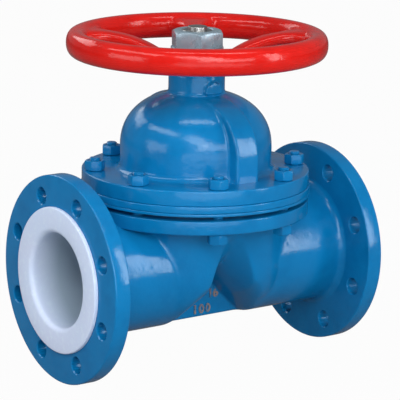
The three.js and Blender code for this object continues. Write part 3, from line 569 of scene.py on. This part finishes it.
def passage(grow, top, end):
    """The hollow for the fluid, grown outwards by a wall, with straight bores that run out to an end."""
    sides = 64
    half_length = OPENING_HALF_LENGTH + grow

    def section(share, angle):
        x = -math.cos(math.pi * share) * (half_length - TIP_INSET)
        up = max(0.0, 1 - abs(x) / WEIR_FOOT)
        floor = floor_height(abs(x) + SLOPE_WALL_ALONG * grow) - (SLOPE_WALL_BELOW if up else 1) * grow
        half_width = superellipse(x, OPENING_HALF_WIDTH + grow, half_length, OPENING_EXPONENT)
        widest = min(top, AXIS_Z + (DECK_TOP - AXIS_Z) * up ** THROAT_POWER)
        return u_section(x, half_width, widest, floor, top, angle, math.tau / sides)

    hollow = lofted(section, 64, sides)
    start = WEIR_FOOT - 3 * MM
    r = BORE_R + grow
    for angle in (0, math.pi):
        bore = on_pipe(turned([(0, start), (r, start), (r, end), (0, end)], steps=96))
        combined(hollow, moved(bore, around_stem(angle)), "UNION")
    return hollow


# ---- Body ----------------------------------------------------------------------------------------
def bowl_half_width(x):
    return superellipse(x, BOWL_HALF_WIDTH, BOWL_HALF_LENGTH, BOWL_EXPONENT)


def bowl():
    """The swelling round the weir that carries the joint's flange."""
    sides = 96

    def section(share, angle):
        x = -math.cos(math.pi * share) * (BOWL_HALF_LENGTH - TIP_INSET)
        beyond = max(0.0, abs(x) - BOWL_END)
        low = AXIS_Z - PIPE_R + BOWL_TUCK + BOWL_LOW_RISE * beyond
        top = JOINT_BOTTOM + BOWL_INTO_JOINT
        widest = AXIS_Z + BOWL_WIDEST_RISE * beyond
        return u_section(x, bowl_half_width(x), widest, low, top, angle, math.tau / sides)

    return lofted(section, 80, sides)


def arch():
    """What lies in the arch below the weir: open downwards, with a roof that dips at mid width."""
    low = AXIS_Z - PIPE_R

    def section(share, angle):
        x = (2 * share - 1) * ARCH_HALF_SPAN
        reach = abs(x)
        roof = low + (ARCH_TOP - low) * (1 - reach / ARCH_HALF_SPAN)
        widest = AXIS_Z + ARCH_SHOULDER * max(0.0, 1 - (reach / ARCH_SHOULDER_SPAN) ** 2)
        swing = abs(math.sin(angle))
        y = (bowl_half_width(x) + ARCH_PAST) * math.cos(angle)
        up = math.sin(angle) > -1e-6
        return Vector((x, y, widest - (widest - roof) * swing if up else low - AXIS_Z * swing))

    return lofted(section, 110, 96)


def joint_place(k):
    """The turn about the stem of joint place k, counted from 1."""
    return around_stem(math.tau * (k - 0.5) / JOINT_BOLTS)


def joint_holes(low, high, radius):
    """Eight upright holes on the joint's bolt circle."""
    holes = []
    for k in range(1, JOINT_BOLTS + 1):
        hole = turned([(0, low), (radius, low), (radius, high), (0, high)], steps=32)
        moved(hole, joint_place(k) @ Matrix.Translation((JOINT_BOLT_CIRCLE_R, 0, 0)))
        holes.append(hole)
    return joined("holes", *holes)


def make_body():
    """The middle of the body casting, melted from pipe, bowl, arch and web, with the fillets to the flanges."""
    hidden = FLANGE_BACK + 0.35 * MM
    end = FLANGE_BACK + 6 * MM
    pipe = on_pipe(turned([
        (0, -end), (FILLET_DISC_R, -end), (FILLET_DISC_R, -hidden), (PIPE_R, -hidden, FLANGE_FILLET),
        (PIPE_R, hidden, FLANGE_FILLET), (FILLET_DISC_R, hidden), (FILLET_DISC_R, end), (0, end),
    ], steps=160))
    shape = combined(pipe, bowl(), "UNION")
    cut(shape, arch())
    web_low = AXIS_Z - PIPE_R
    web_end = FLANGE_BACK + 3 * MM
    web = block((2 * web_end, 2 * WEB_HALF_THICKNESS, AXIS_Z - web_low),
                (0, 0, (AXIS_Z + web_low) / 2))
    shape = cast(joined("middle", shape, web), BODY_VOXEL, 5)
    cut(shape, passage(LINING_WALL + GAP, DECK_TOP + MM, METAL_X))
    finished(shape, "body_middle", BLUE, "valve_body", ["body"])


def make_end_flange(side, name):
    """A crisp end flange with its eight holes, round the end of the casting."""
    flange = on_pipe(turned([
        (IRON_BORE_R, FLANGE_BACK),
        (FLANGE_R, FLANGE_BACK, FLANGE_EDGE),
        (FLANGE_R, METAL_X, FLANGE_EDGE),
        (IRON_BORE_R, METAL_X),
    ], steps=192, ring=True))
    chamfer = 0.9 * MM
    past = 3 * MM
    holes = []
    for k in range(FLANGE_HOLES):
        hole = on_pipe(turned([
            (0, FLANGE_BACK - past),
            (FLANGE_HOLE_R + chamfer + past, FLANGE_BACK - past),
            (FLANGE_HOLE_R, FLANGE_BACK + chamfer),
            (FLANGE_HOLE_R, METAL_X - chamfer),
            (FLANGE_HOLE_R + chamfer + past, METAL_X + past),
            (0, METAL_X + past),
        ], steps=48))
        angle = math.tau * (k + 0.5) / FLANGE_HOLES
        offset = Vector((0, math.cos(angle), math.sin(angle))) * FLANGE_HOLE_CIRCLE_R
        holes.append(moved(hole, Matrix.Translation(offset)))
    cut(flange, joined("holes", *holes))
    if side < 0:
        moved(flange, around_stem(math.pi))
    finished(flange, name, BLUE, "valve_body", ["body"])


def make_body_joint():
    """The round flange on top of the body, drilled for the joint's bolts and studs."""
    flange = turned([
        (JOINT_INNER_R, JOINT_BOTTOM),
        (JOINT_R, JOINT_BOTTOM, JOINT_EDGE),
        (JOINT_R, BODY_JOINT_TOP, JOINT_EDGE),
        (JOINT_INNER_R, BODY_JOINT_TOP),
    ], steps=192, ring=True)
    cut(flange, joint_holes(JOINT_BOTTOM - MM, BODY_JOINT_TOP + MM, JOINT_HOLE_R))
    finished(flange, "body_joint_flange", BLUE, "valve_body", ["body"])


def make_lining():
    """The lining: passage, deck under the diaphragm, and sealing faces on the end flanges."""
    seat_back = METAL_X + GAP
    sleeve_start = FACE_X - SLEEVE
    tube_top = DECK_TOP - 0.4 * MM
    tube = passage(LINING_WALL, tube_top, sleeve_start + GAP)
    cut(tube, passage(0, DECK_TOP + MM, FACE_X))
    deck_low = BODY_JOINT_TOP + GAP
    deck = turned([(0, deck_low), (DECK_R, deck_low, DECK_EDGE), (DECK_R, DECK_TOP, DECK_EDGE), (0, DECK_TOP)])
    cut(deck, passage(0, DECK_TOP + MM, FACE_X))
    seats = []
    for angle in (0, math.pi):
        seat = on_pipe(turned([
            (BORE_R, sleeve_start), (BORE_R + LINING_WALL, sleeve_start), (BORE_R + LINING_WALL, seat_back),
            (SEAT_R, seat_back), (SEAT_R, FACE_X, SEAT_EDGE), (BORE_R, FACE_X, MOUTH_ROUND),
        ], steps=160, ring=True))
        seats.append(moved(seat, around_stem(angle)))
    lining = joined("lining", tube, deck, *seats)
    finished(lining, "body_lining_skin", LINING, "valve_body", ["body_lining"])


make_body()
make_end_flange(-1, "inlet_flange")
make_end_flange(1, "outlet_flange")
make_body_joint()
make_lining()


# ---- Raised numbers on the web -------------------------------------------------------------------
NUMBER_PROUD = 0.8 * MM


def raised_number(text, size, centre_x, base_z, spacing, name):
    """Plain cast figures on the web's front."""
    curve = bpy.data.curves.new(name, "FONT")
    curve.body = text
    curve.size = size
    curve.space_character = spacing
    curve.align_x = "CENTER"
    curve.extrude = NUMBER_PROUD
    curve.bevel_depth = 0.25 * MM
    curve.offset = 0.2 * MM
    holder = bpy.data.objects.new(name, curve)
    scene.collection.objects.link(holder)
    mesh = bpy.data.meshes.new_from_object(holder.evaluated_get(bpy.context.evaluated_depsgraph_get()))
    bpy.data.objects.remove(holder)
    figures = bpy.data.objects.new(name, mesh)
    scene.collection.objects.link(figures)
    upright = Matrix.Rotation(math.pi / 2, 4, "X")
    moved(figures, Matrix.Translation((centre_x, -WEB_HALF_THICKNESS, base_z)) @ upright)
    finished(figures, name, WORN_BLUE, "valve_body", ["body"])


raised_number("16", size=14 * MM, centre_x=21 * MM, base_z=65.5 * MM, spacing=1.0, name="number_16")
raised_number("100", size=13.5 * MM, centre_x=6 * MM, base_z=49.5 * MM, spacing=1.25, name="number_100")


# ---- Diaphragm -----------------------------------------------------------------------------------
RIM_EDGE = 1.1 * MM


def make_sheet(inset, low, high, name, material, node):
    """One sheet of the diaphragm: its rim between the flanges, and its cup, given a mesh of its own."""
    thickness = high - low
    depth = DECK_TOP - WEIR_TOP
    inner = CUP_R - (inset - GAP) - thickness
    outer = inner + thickness
    rim = turned([(inner, low), (face_high.x, low, 0.4 * MM), (face_high.x, high, RIM_EDGE), (inner, high)],
                 steps=192, ring=True)
    cut(rim, joint_holes(low - MM, high + MM, JOINT_HOLE_R))
    finished(rim, name + "_rim", BLUE, "valve_body", [node])
    steps = 20
    quarter = [math.pi / 2 * k / steps for k in range(steps + 1)]
    outside = [(outer * math.sin(a), DECK_TOP - (depth - inset) * math.cos(a)) for a in quarter]
    inside = [(inner * math.sin(a), DECK_TOP - (depth - inset - thickness) * math.cos(a)) for a in quarter]
    cup = turned([*outside, (outer, low), (inner, low), *reversed(inside)], steps=96)
    finished(cup, name + "_cup", material, "valve_body", [node], crease=math.radians(50))
    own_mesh(cup)


make_sheet(GAP, DECK_TOP + GAP, face_high.z, "diaphragm_face", LINING, "diaphragm_face")
make_sheet(backing_low.z - WEIR_TOP, face_high.z + GAP, backing_high.z, "diaphragm_backing", RUBBER,
           "diaphragm_backing")


# ---- Bonnet --------------------------------------------------------------------------------------
def dome_arc(radius, crown, to_radius, steps):
    """A superelliptic crown from its widest ring up to a ring of the given radius."""
    end = math.acos(min(1.0, (to_radius / radius) ** (DOME_ROUNDNESS / 2)))
    power = 2 / DOME_ROUNDNESS
    angles = [end * k / steps for k in range(steps + 1)]
    return [(radius * math.cos(a) ** power, CROWN_START + crown * math.sin(a) ** power) for a in angles]


def rib():
    """The upright rib over the dome, both ways along Y, as a slab."""
    bm = bmesh.new()
    arc = dome_arc(DOME_R + RIB_PROUD, DOME_CROWN - RIB_DIP, NECK_R - RIB_INTO_NECK, 40)
    side = [(DOME_R + RIB_PROUD, BONNET_SKIRT)] + arc
    outline = side + [(-y, z) for y, z in reversed(side)]
    face = bm.faces.new([bm.verts.new((-RIB_HALF_WIDTH, y, z)) for y, z in outline])
    made = bmesh.ops.extrude_face_region(bm, geom=[face])
    verts = [item for item in made["geom"] if isinstance(item, bmesh.types.BMVert)]
    bmesh.ops.translate(bm, verts=verts, vec=(2 * RIB_HALF_WIDTH, 0, 0))
    return piece_of(bm, "rib")


def boss():
    """The arched boss of the stem nut's locking screw, on the neck's front."""
    bm = bmesh.new()
    low = LOCK_SCREW_Z - BOSS_HEIGHT / 2
    centre_z = low + BOSS_HEIGHT - BOSS_HALF_WIDTH
    arch_steps = 24
    outline = [(-BOSS_HALF_WIDTH, low), (BOSS_HALF_WIDTH, low)]
    for k in range(arch_steps + 1):
        angle = math.pi * k / arch_steps
        outline.append((BOSS_HALF_WIDTH * math.cos(angle), centre_z + BOSS_HALF_WIDTH * math.sin(angle)))
    face = bm.faces.new([bm.verts.new((x, -NECK_R - BOSS_PROUD, z)) for x, z in outline])
    made = bmesh.ops.extrude_face_region(bm, geom=[face])
    verts = [item for item in made["geom"] if isinstance(item, bmesh.types.BMVert)]
    bmesh.ops.translate(bm, verts=verts, vec=(0, NECK_R, 0))
    return piece_of(bm, "boss")


def bonnet_inside():
    """The room inside the bonnet, with its neck hole, the nut collar's seat and the guide of the lugs."""
    inner = DOME_R - DOME_WALL
    inside = turned([
        (0, bonnet_low.z - MM), (inner, bonnet_low.z - MM),
        *dome_arc(inner, DOME_CROWN - DOME_WALL, NECK_HOLE_R, 24),
        (NECK_HOLE_R, bonnet_high.z + MM), (0, bonnet_high.z + MM),
    ])
    seat = turned([(0, BONNET_JOINT_TOP), (stem_nut_high.x + GAP, BONNET_JOINT_TOP),
                   (stem_nut_high.x + GAP, NUT_SEAT_TOP), (0, NUT_SEAT_TOP)])
    guide_low = bonnet_low.z - MM
    guide = block((GUIDE_WIDTH, GUIDE_SPAN, GUIDE_TOP - guide_low), (0, 0, (guide_low + GUIDE_TOP) / 2))
    combined(inside, seat, "UNION")
    return combined(inside, guide, "UNION")


def make_bonnet():
    """The dome, melted with its rib and boss, and the round flange below it."""
    foot_r = DOME_R + DOME_FOOT + 3 * MM
    foot_z = BONNET_JOINT_TOP - 0.4 * MM
    dome = turned([
        (0, BONNET_SKIRT),
        (foot_r, BONNET_SKIRT),
        (foot_r, foot_z),
        (DOME_R, foot_z, DOME_FOOT),
        *dome_arc(DOME_R, DOME_CROWN, NECK_R + 2 * MM, 48)[:-1],
        (*dome_arc(DOME_R, DOME_CROWN, NECK_R, 48)[-1], 4 * MM),
        (NECK_R, bonnet_high.z, 1 * MM),
        (0, bonnet_high.z),
    ], steps=144)
    shape = cast(joined("bonnet_casting", dome, rib(), boss()), BONNET_VOXEL, 5,
                 soft=lambda co: co.z < BONNET_SOFT_TOP, soft_rounds=4)
    cut(shape, bonnet_inside())
    finished(shape, "bonnet_dome", BLUE, "valve_body", ["bonnet"])
    inner = DOME_R - DOME_WALL
    flange = turned([
        (inner, bonnet_low.z), (JOINT_R, bonnet_low.z, 0.5 * MM),
        (JOINT_R, BONNET_JOINT_TOP, JOINT_EDGE), (inner, BONNET_JOINT_TOP),
    ], steps=192, ring=True)
    cut(flange, joint_holes(bonnet_low.z - MM, BONNET_JOINT_TOP + MM, JOINT_HOLE_R))
    finished(flange, "bonnet_flange", BLUE, "valve_body", ["bonnet"])


make_bonnet()


# ---- Threads, nuts and bolts ---------------------------------------------------------------------
def threaded(radius, depth, pitch, low, high, sides=32, per_pitch=8):
    """A rod with a screw thread and chamfered ends."""
    length = high - low
    stations = max(2, round(length / pitch * per_pitch))

    def section(share, angle):
        z = low + length * share
        phase = (z / pitch - angle / math.tau) % 1
        tooth = min(1.0, max(0.0, 4 * abs(phase - 0.5) - 0.5))
        r = min(radius - depth * tooth, radius - depth - 0.3 * MM + min(z - low, high - z))
        return Vector((r * math.cos(angle), r * math.sin(angle), z))

    return lofted(section, stations, sides)


def hex_nut(flats, low, high, hole_r, top_r, tilt, phase=0.0, under=True):
    """A hexagon nut whose corners are turned away above, and below too where asked."""
    bm = bmesh.new()
    corner = flats / math.sqrt(3)
    bmesh.ops.create_cone(bm, cap_ends=True, segments=6, radius1=corner, radius2=corner, depth=high - low,
                          matrix=Matrix.Translation((0, 0, (low + high) / 2)) @ around_stem(phase + math.pi / 6))
    nut = piece_of(bm, "nut")
    over = corner + 0.5 * MM
    drop = math.tan(tilt) * (over - top_r)
    base = [(0, low), (top_r, low), (over, low + drop)] if under else [(0, low - MM), (over, low - MM)]
    combined(nut, turned([*base, (over, high - drop), (top_r, high), (0, high)], steps=96), "INTERSECT")
    if hole_r:
        lead = 0.8 * MM
        cut(nut, turned([(0, low - MM), (hole_r, low - MM), (hole_r, high - lead),
                         (hole_r + lead + MM, high + MM), (0, high + MM)], steps=48))
    return nut


def make_joint_bolting():
    nut_low, nut_high = joint_nut_low.z, joint_nut_high.z
    for k in range(1, JOINT_BOLTS + 1):
        at_place = joint_place(k) @ Matrix.Translation((JOINT_BOLT_CIRCLE_R, 0, 0))
        nut = hex_nut(BOLT_FLATS, nut_low, nut_high, BOLT_R + 0.1 * MM, NUT_TOP_R, NUT_TILT)
        bevelled(nut, NUT_EDGE)
        moved(nut, at_place)
        finished(nut, f"joint_nut_{k}_hex", BLUE, "valve_body", [f"joint_nut_{k}"])
        is_stud = k in STUD_PLACES
        low = stud_low.z if is_stud else bolt_low.z + BOLT_INTO_HEAD
        shank = threaded(BOLT_R, BOLT_THREAD_DEPTH, BOLT_PITCH, low, stud_high.z)
        kind = "stud" if is_stud else "bolt"
        if not is_stud:
            head = hex_nut(BOLT_FLATS, bolt_low.z, JOINT_BOTTOM - GAP, 0, NUT_TOP_R, NUT_TILT)
            bevelled(head, NUT_EDGE)
            shank = joined("bolt", shank, head)
        moved(shank, at_place)
        finished(shank, f"joint_{kind}_{k}_thread", BLUE, "valve_body", [f"joint_{kind}_{k}"])


def make_lock_screw():
    """The locking screw in the neck: a slotted grub screw."""
    front, back, radius = -(NECK_R + BOSS_PROUD + 0.1 * MM), LOCK_SCREW_BACK, LOCK_SCREW_R
    screw = turned([(0, -back), (radius, -back), (radius, -front, 0.6 * MM), (0, -front)], steps=40)
    slot_cut = block((SLOT_WIDTH, 3 * radius, SLOT_DEPTH), (0, 0, -front))
    cut(screw, slot_cut)
    moved(screw, Matrix.Translation((0, 0, LOCK_SCREW_Z)) @ Matrix.Rotation(math.pi / 2, 4, "X")
          @ around_stem(LOCK_SCREW_TURN))
    finished(screw, "lock_screw", BLUE, "valve_body", ["stem_nut_lock_screw"])


def make_stem_nut():
    r, collar, top, shelf = STEM_NUT_R, stem_nut_high.x, stem_nut_high.z, STEM_NUT_SHELF
    bore_r = STEM_R + 0.3 * MM
    nut = turned([
        (bore_r, stem_nut_low.z), (collar, stem_nut_low.z, MM), (collar, shelf, MM), (r, shelf),
        (r, top, 0.5 * MM), (bore_r, top),
    ], steps=96, ring=True)
    finished(nut, "stem_nut_sleeve", BRASS, "valve_body", ["stem_nut"])


make_joint_bolting()
make_lock_screw()
make_stem_nut()


# ---- Stem and handwheel --------------------------------------------------------------------------
def make_stem():
    """The stem: grooved foot, lifting screw, seat of the wheel, and threaded end with its tip."""
    foot = turned([(0, stem_low.z), (STEM_R - 2 * MM, stem_low.z), (STEM_R, stem_low.z + 2 * MM),
                   (STEM_R, GROOVE_LOW), (GROOVE_R, GROOVE_LOW), (GROOVE_R, GROOVE_HIGH),
                   (STEM_R, GROOVE_HIGH, 0.5 * MM), (STEM_R, GROOVE_HIGH + 9 * MM), (0, GROOVE_HIGH + 9 * MM)],
                  steps=96)
    shoulder = wheel_hub_low - GAP
    screw = threaded(STEM_R, STEM_THREAD_DEPTH, STEM_PITCH, GROOVE_HIGH + 8 * MM, shoulder, sides=64, per_pitch=12)
    seat_top = washer_low.z - 2 * GAP
    seat = turned([(0, shoulder - MM), (STEM_SEAT_R, shoulder - MM), (STEM_SEAT_R, seat_top), (0, seat_top)],
                  steps=96)
    thread_top = stem_high.z - STEM_TIP
    end = threaded(STEM_END_R, END_THREAD_DEPTH, STEM_END_PITCH, seat_top - MM, thread_top, sides=64)
    tip = turned([(0, thread_top - MM), (STEM_TIP_R, thread_top - MM), (STEM_TIP_R, stem_high.z, 1.2 * MM),
                  (0, stem_high.z)], steps=64)
    stem = joined("stem", foot, screw, seat, end, tip)
    finished(stem, "stem_screw", STEEL, "handwheel_and_stem", ["stem"])


def rim():
    steps = 44
    power = 2 / RIM_ROUNDNESS

    def bent(value):
        return math.copysign(abs(value) ** power, value)

    angles = [math.tau * k / steps for k in range(steps)]
    return turned([(RIM_R + RIM_WIDTH / 2 * bent(math.cos(a)), RIM_Z + RIM_HEIGHT / 2 * bent(math.sin(a)))
                   for a in angles], steps=192, ring=True)


def spoke(k):
    """One spoke, which dips to the hub and spreads into the rim on flares."""
    inside = RIM_R - RIM_WIDTH / 2
    start, end = HUB_R - SPOKE_INTO_HUB, inside + SPOKE_INTO_RIM
    at_hub = wheel_hub_low + SPOKE_OVER_FOOT + SPOKE_HALF_THICKNESS

    def bent(value):
        return math.copysign(abs(value) ** SPOKE_SQUARENESS, value)

    def section(share, angle):
        r = start + (end - start) * share
        along = min(1.0, max(0.0, (r - HUB_R) / (inside - HUB_R)))
        spread = max(0.0, along - FLARE_START) / FLARE_LENGTH
        half_width = SPOKE_HALF_WIDTH + SPOKE_FLARE * spread ** FLARE_POWER
        near_hub = max(0.0, 1 - along / ROOT_LENGTH)
        half_width += ROOT_FLARE * near_hub ** 2
        curve = RIM_Z + SPOKE_RISE - SPOKE_DROP * (1 - along) ** SPOKE_DIP_POWER
        centre = max(at_hub, curve)
        half_thickness = SPOKE_HALF_THICKNESS + FLARE_THICKENING * spread ** 2
        return Vector((r, half_width * bent(math.cos(angle)), centre + half_thickness * bent(math.sin(angle))))

    shape = lofted(section, 48, 40)
    return moved(shape, around_stem(SPOKE_PHASE + math.tau * k / SPOKES))


def make_handwheel():
    top = wheel_hub_low + HUB_HEIGHT
    hub = turned([(0, wheel_hub_low), (HUB_R, wheel_hub_low, HUB_EDGE), (HUB_R, top, HUB_EDGE), (0, top)],
                 steps=96)
    wheel = cast(joined("wheel_casting", rim(), hub, *(spoke(k) for k in range(SPOKES))), WHEEL_VOXEL, 8)
    cut(wheel, turned([(0, wheel_hub_low - MM), (STEM_SEAT_R + GAP, wheel_hub_low - MM),
                       (STEM_SEAT_R + GAP, top + MM), (0, top + MM)], steps=96))
    finished(wheel, "handwheel_casting", RED, "handwheel_and_stem", ["handwheel"],
             crease=math.radians(45))


def make_wheel_fastening():
    hole = STEM_END_R + GAP
    washer = turned([(hole, washer_low.z), (washer_high.x, washer_low.z, 0.5 * MM),
                     (washer_high.x, washer_high.z, 0.5 * MM), (hole, washer_high.z)], steps=128, ring=True)
    finished(washer, "wheel_washer", ZINC, "handwheel_and_stem", ["handwheel_washer"])
    nut = hex_nut(WHEEL_NUT_FLATS, wheel_nut_low.z, wheel_nut_high.z, STEM_END_R + 0.15 * MM, WHEEL_NUT_TOP_R,
                  WHEEL_NUT_TILT, WHEEL_NUT_TURN, under=False)
    bevelled(nut, 0.5 * MM)
    finished(nut, "wheel_nut", ZINC, "handwheel_and_stem", ["handwheel_nut"])


make_stem()
make_handwheel()
make_wheel_fastening()


# ---- Plain inner nodes of the frame --------------------------------------------------------------
CARRIED_OVER = {
    "compressor": "bare_iron",
    "compressor_pin_left": "bare_steel",
    "compressor_pin_right": "bare_steel",
    "diaphragm_stud": "bare_steel",
    "handwheel_key": "bare_steel",
}
for node, finish in CARRIED_OVER.items():
    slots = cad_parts[node].material_slots
    for material_slot in slots:
        material_slot.material = FINISHES[finish]


# ---- Studio --------------------------------------------------------------------------------------
WORLD_LIGHT = 0.14
MIRRORED_WORLD = 0.1  # shares of the white that reflections see, where 1 is all of it
MIRRORED_FLOOR = 0.05
FLOOR_PAINT = 0.22
FLOOR_WHITE = 0.97
FLOOR_HALF_SIZE = 20
LAMP_AIM = Vector((0, 0, 0.2))


def seen_white(tree, shader, kind, direct, mirrored):
    """Shows white to the camera and, more weakly, in reflections, whatever light the shader gives or takes."""
    path = tree.nodes.new("ShaderNodeLightPath")
    share = None
    for ray, part in (("Is Camera Ray", direct), ("Is Transmission Ray", direct), ("Is Glossy Ray", mirrored)):
        scaled = tree.nodes.new("ShaderNodeMath")
        scaled.operation = "MULTIPLY"
        tree.links.new(path.outputs[ray], scaled.inputs[0])
        scaled.inputs[1].default_value = part
        if share is None:
            share = scaled.outputs[0]
            continue
        either = tree.nodes.new("ShaderNodeMath")
        either.operation = "MAXIMUM"
        tree.links.new(share, either.inputs[0])
        tree.links.new(scaled.outputs[0], either.inputs[1])
        share = either.outputs[0]
    white = tree.nodes.new(kind)
    white.inputs["Color"].default_value = (1, 1, 1, 1)
    white.inputs["Strength"].default_value = 1
    mix = tree.nodes.new("ShaderNodeMixShader")
    tree.links.new(share, mix.inputs[0])
    tree.links.new(shader.outputs[0], mix.inputs[1])
    tree.links.new(white.outputs[0], mix.inputs[2])
    return mix.outputs[0]


def make_world():
    world = bpy.data.worlds.new("studio")
    scene.world = world
    world.use_nodes = True
    tree = world.node_tree
    lit = tree.nodes["Background"]
    lit.inputs["Color"].default_value = (0.93, 0.96, 1, 1)
    lit.inputs["Strength"].default_value = WORLD_LIGHT
    white = seen_white(tree, lit, "ShaderNodeBackground", 1, MIRRORED_WORLD)
    tree.links.new(white, tree.nodes["World Output"].inputs["Surface"])


def make_floor():
    bm = bmesh.new()
    bmesh.ops.create_grid(bm, x_segments=1, y_segments=1, size=FLOOR_HALF_SIZE)
    floor = piece_of(bm, "studio_floor")
    material = bpy.data.materials.new("studio_floor")
    material.use_nodes = True
    tree = material.node_tree
    tree.nodes.remove(tree.nodes["Principled BSDF"])
    paint = tree.nodes.new("ShaderNodeBsdfDiffuse")
    paint.inputs["Color"].default_value = (FLOOR_PAINT, FLOOR_PAINT, FLOOR_PAINT, 1)
    white = seen_white(tree, paint, "ShaderNodeEmission", FLOOR_WHITE, MIRRORED_FLOOR)
    tree.links.new(white, tree.nodes["Material Output"].inputs["Surface"])
    floor.data.materials.append(material)


def lamp(name, direction, distance, size, radiance, lean=0):
    """A soft box of that radiance, aimed at the middle of the object from a direction, and leaning sideways."""
    data = bpy.data.lights.new(name, "AREA")
    data.shape = "RECTANGLE"
    data.size, data.size_y = size
    data.energy = radiance * math.pi * size[0] * size[1]
    light = bpy.data.objects.new(name, data)
    scene.collection.objects.link(light)
    place = LAMP_AIM + Vector(direction).normalized() * distance
    turned_to = (LAMP_AIM - place).to_track_quat("-Z", "Y").to_matrix().to_4x4()
    light.matrix_world = Matrix.Translation(place) @ turned_to @ Matrix.Rotation(math.radians(lean), 4, "Z")
    light.visible_camera = False


make_world()
make_floor()
lamp("window", (-0.42, -0.88, 0.22), 1.7, (1.4, 1.0), 0.8)
lamp("low_strip", (-0.17, -0.97, 0.21), 1.9, (1.6, 0.4), 4.6)
lamp("left_strip", (-0.76, 0.08, 0.65), 2.0, (1.8, 0.34), 5.5)
lamp("left_low", (-0.95, 0.1, 0.1), 2.0, (1.2, 0.6), 3.2)
lamp("front_strip", (-0.46, -0.76, 0.46), 2.1, (1.5, 0.62), 6.0, lean=-30)
lamp("right_box", (0.54, -0.80, 0.27), 2.2, (0.42, 1.4), 8.5)
lamp("overhead", (-0.05, -0.28, 0.96), 2.2, (2.0, 0.24), 9, lean=-23)
lamp("table_glow", (-0.37, -0.92, -0.08), 1.1, (1.4, 0.24), 1.8)
lamp("back_strip", (-0.2, 0.85, 0.5), 2.2, (1.5, 0.7), 2.8)


# ---- Camera --------------------------------------------------------------------------------------
CAMERA_PIVOT_Z = 190 * MM
CAMERA_DISTANCE = 2.33458
CAMERA_AIM_ASIDE = 5.456
CAMERA_AIM_Z = 174.648 * MM
CAMERA_LENS = 196.12


def place_camera():
    azimuth, elevation, roll = math.radians(-35.034), math.radians(12.783), math.radians(0.864)
    pivot = Vector((0, 0, CAMERA_PIVOT_Z))
    away = Vector((math.sin(azimuth) * math.cos(elevation), -math.cos(azimuth) * math.cos(elevation),
                   math.sin(elevation)))
    eye = pivot + away * CAMERA_DISTANCE
    sideways = Vector((math.cos(azimuth), math.sin(azimuth), 0))
    aim = sideways * CAMERA_AIM_ASIDE * MM + Vector((0, 0, CAMERA_AIM_Z))
    back = (eye - aim).normalized()
    level = Vector((0, 0, 1)).cross(back).normalized()
    upright = back.cross(level)
    right = math.cos(roll) * level + math.sin(roll) * upright
    up = math.cos(roll) * upright - math.sin(roll) * level
    camera = bpy.data.objects.new("camera", bpy.data.cameras.new("camera"))
    scene.collection.objects.link(camera)
    camera.matrix_world = Matrix.Translation(eye) @ Matrix((right, up, back)).transposed().to_4x4()
    camera.data.sensor_width = 36
    camera.data.lens = CAMERA_LENS
    camera.data.clip_end = 50
    scene.camera = camera


place_camera()
scene.view_settings.view_transform = "Standard"
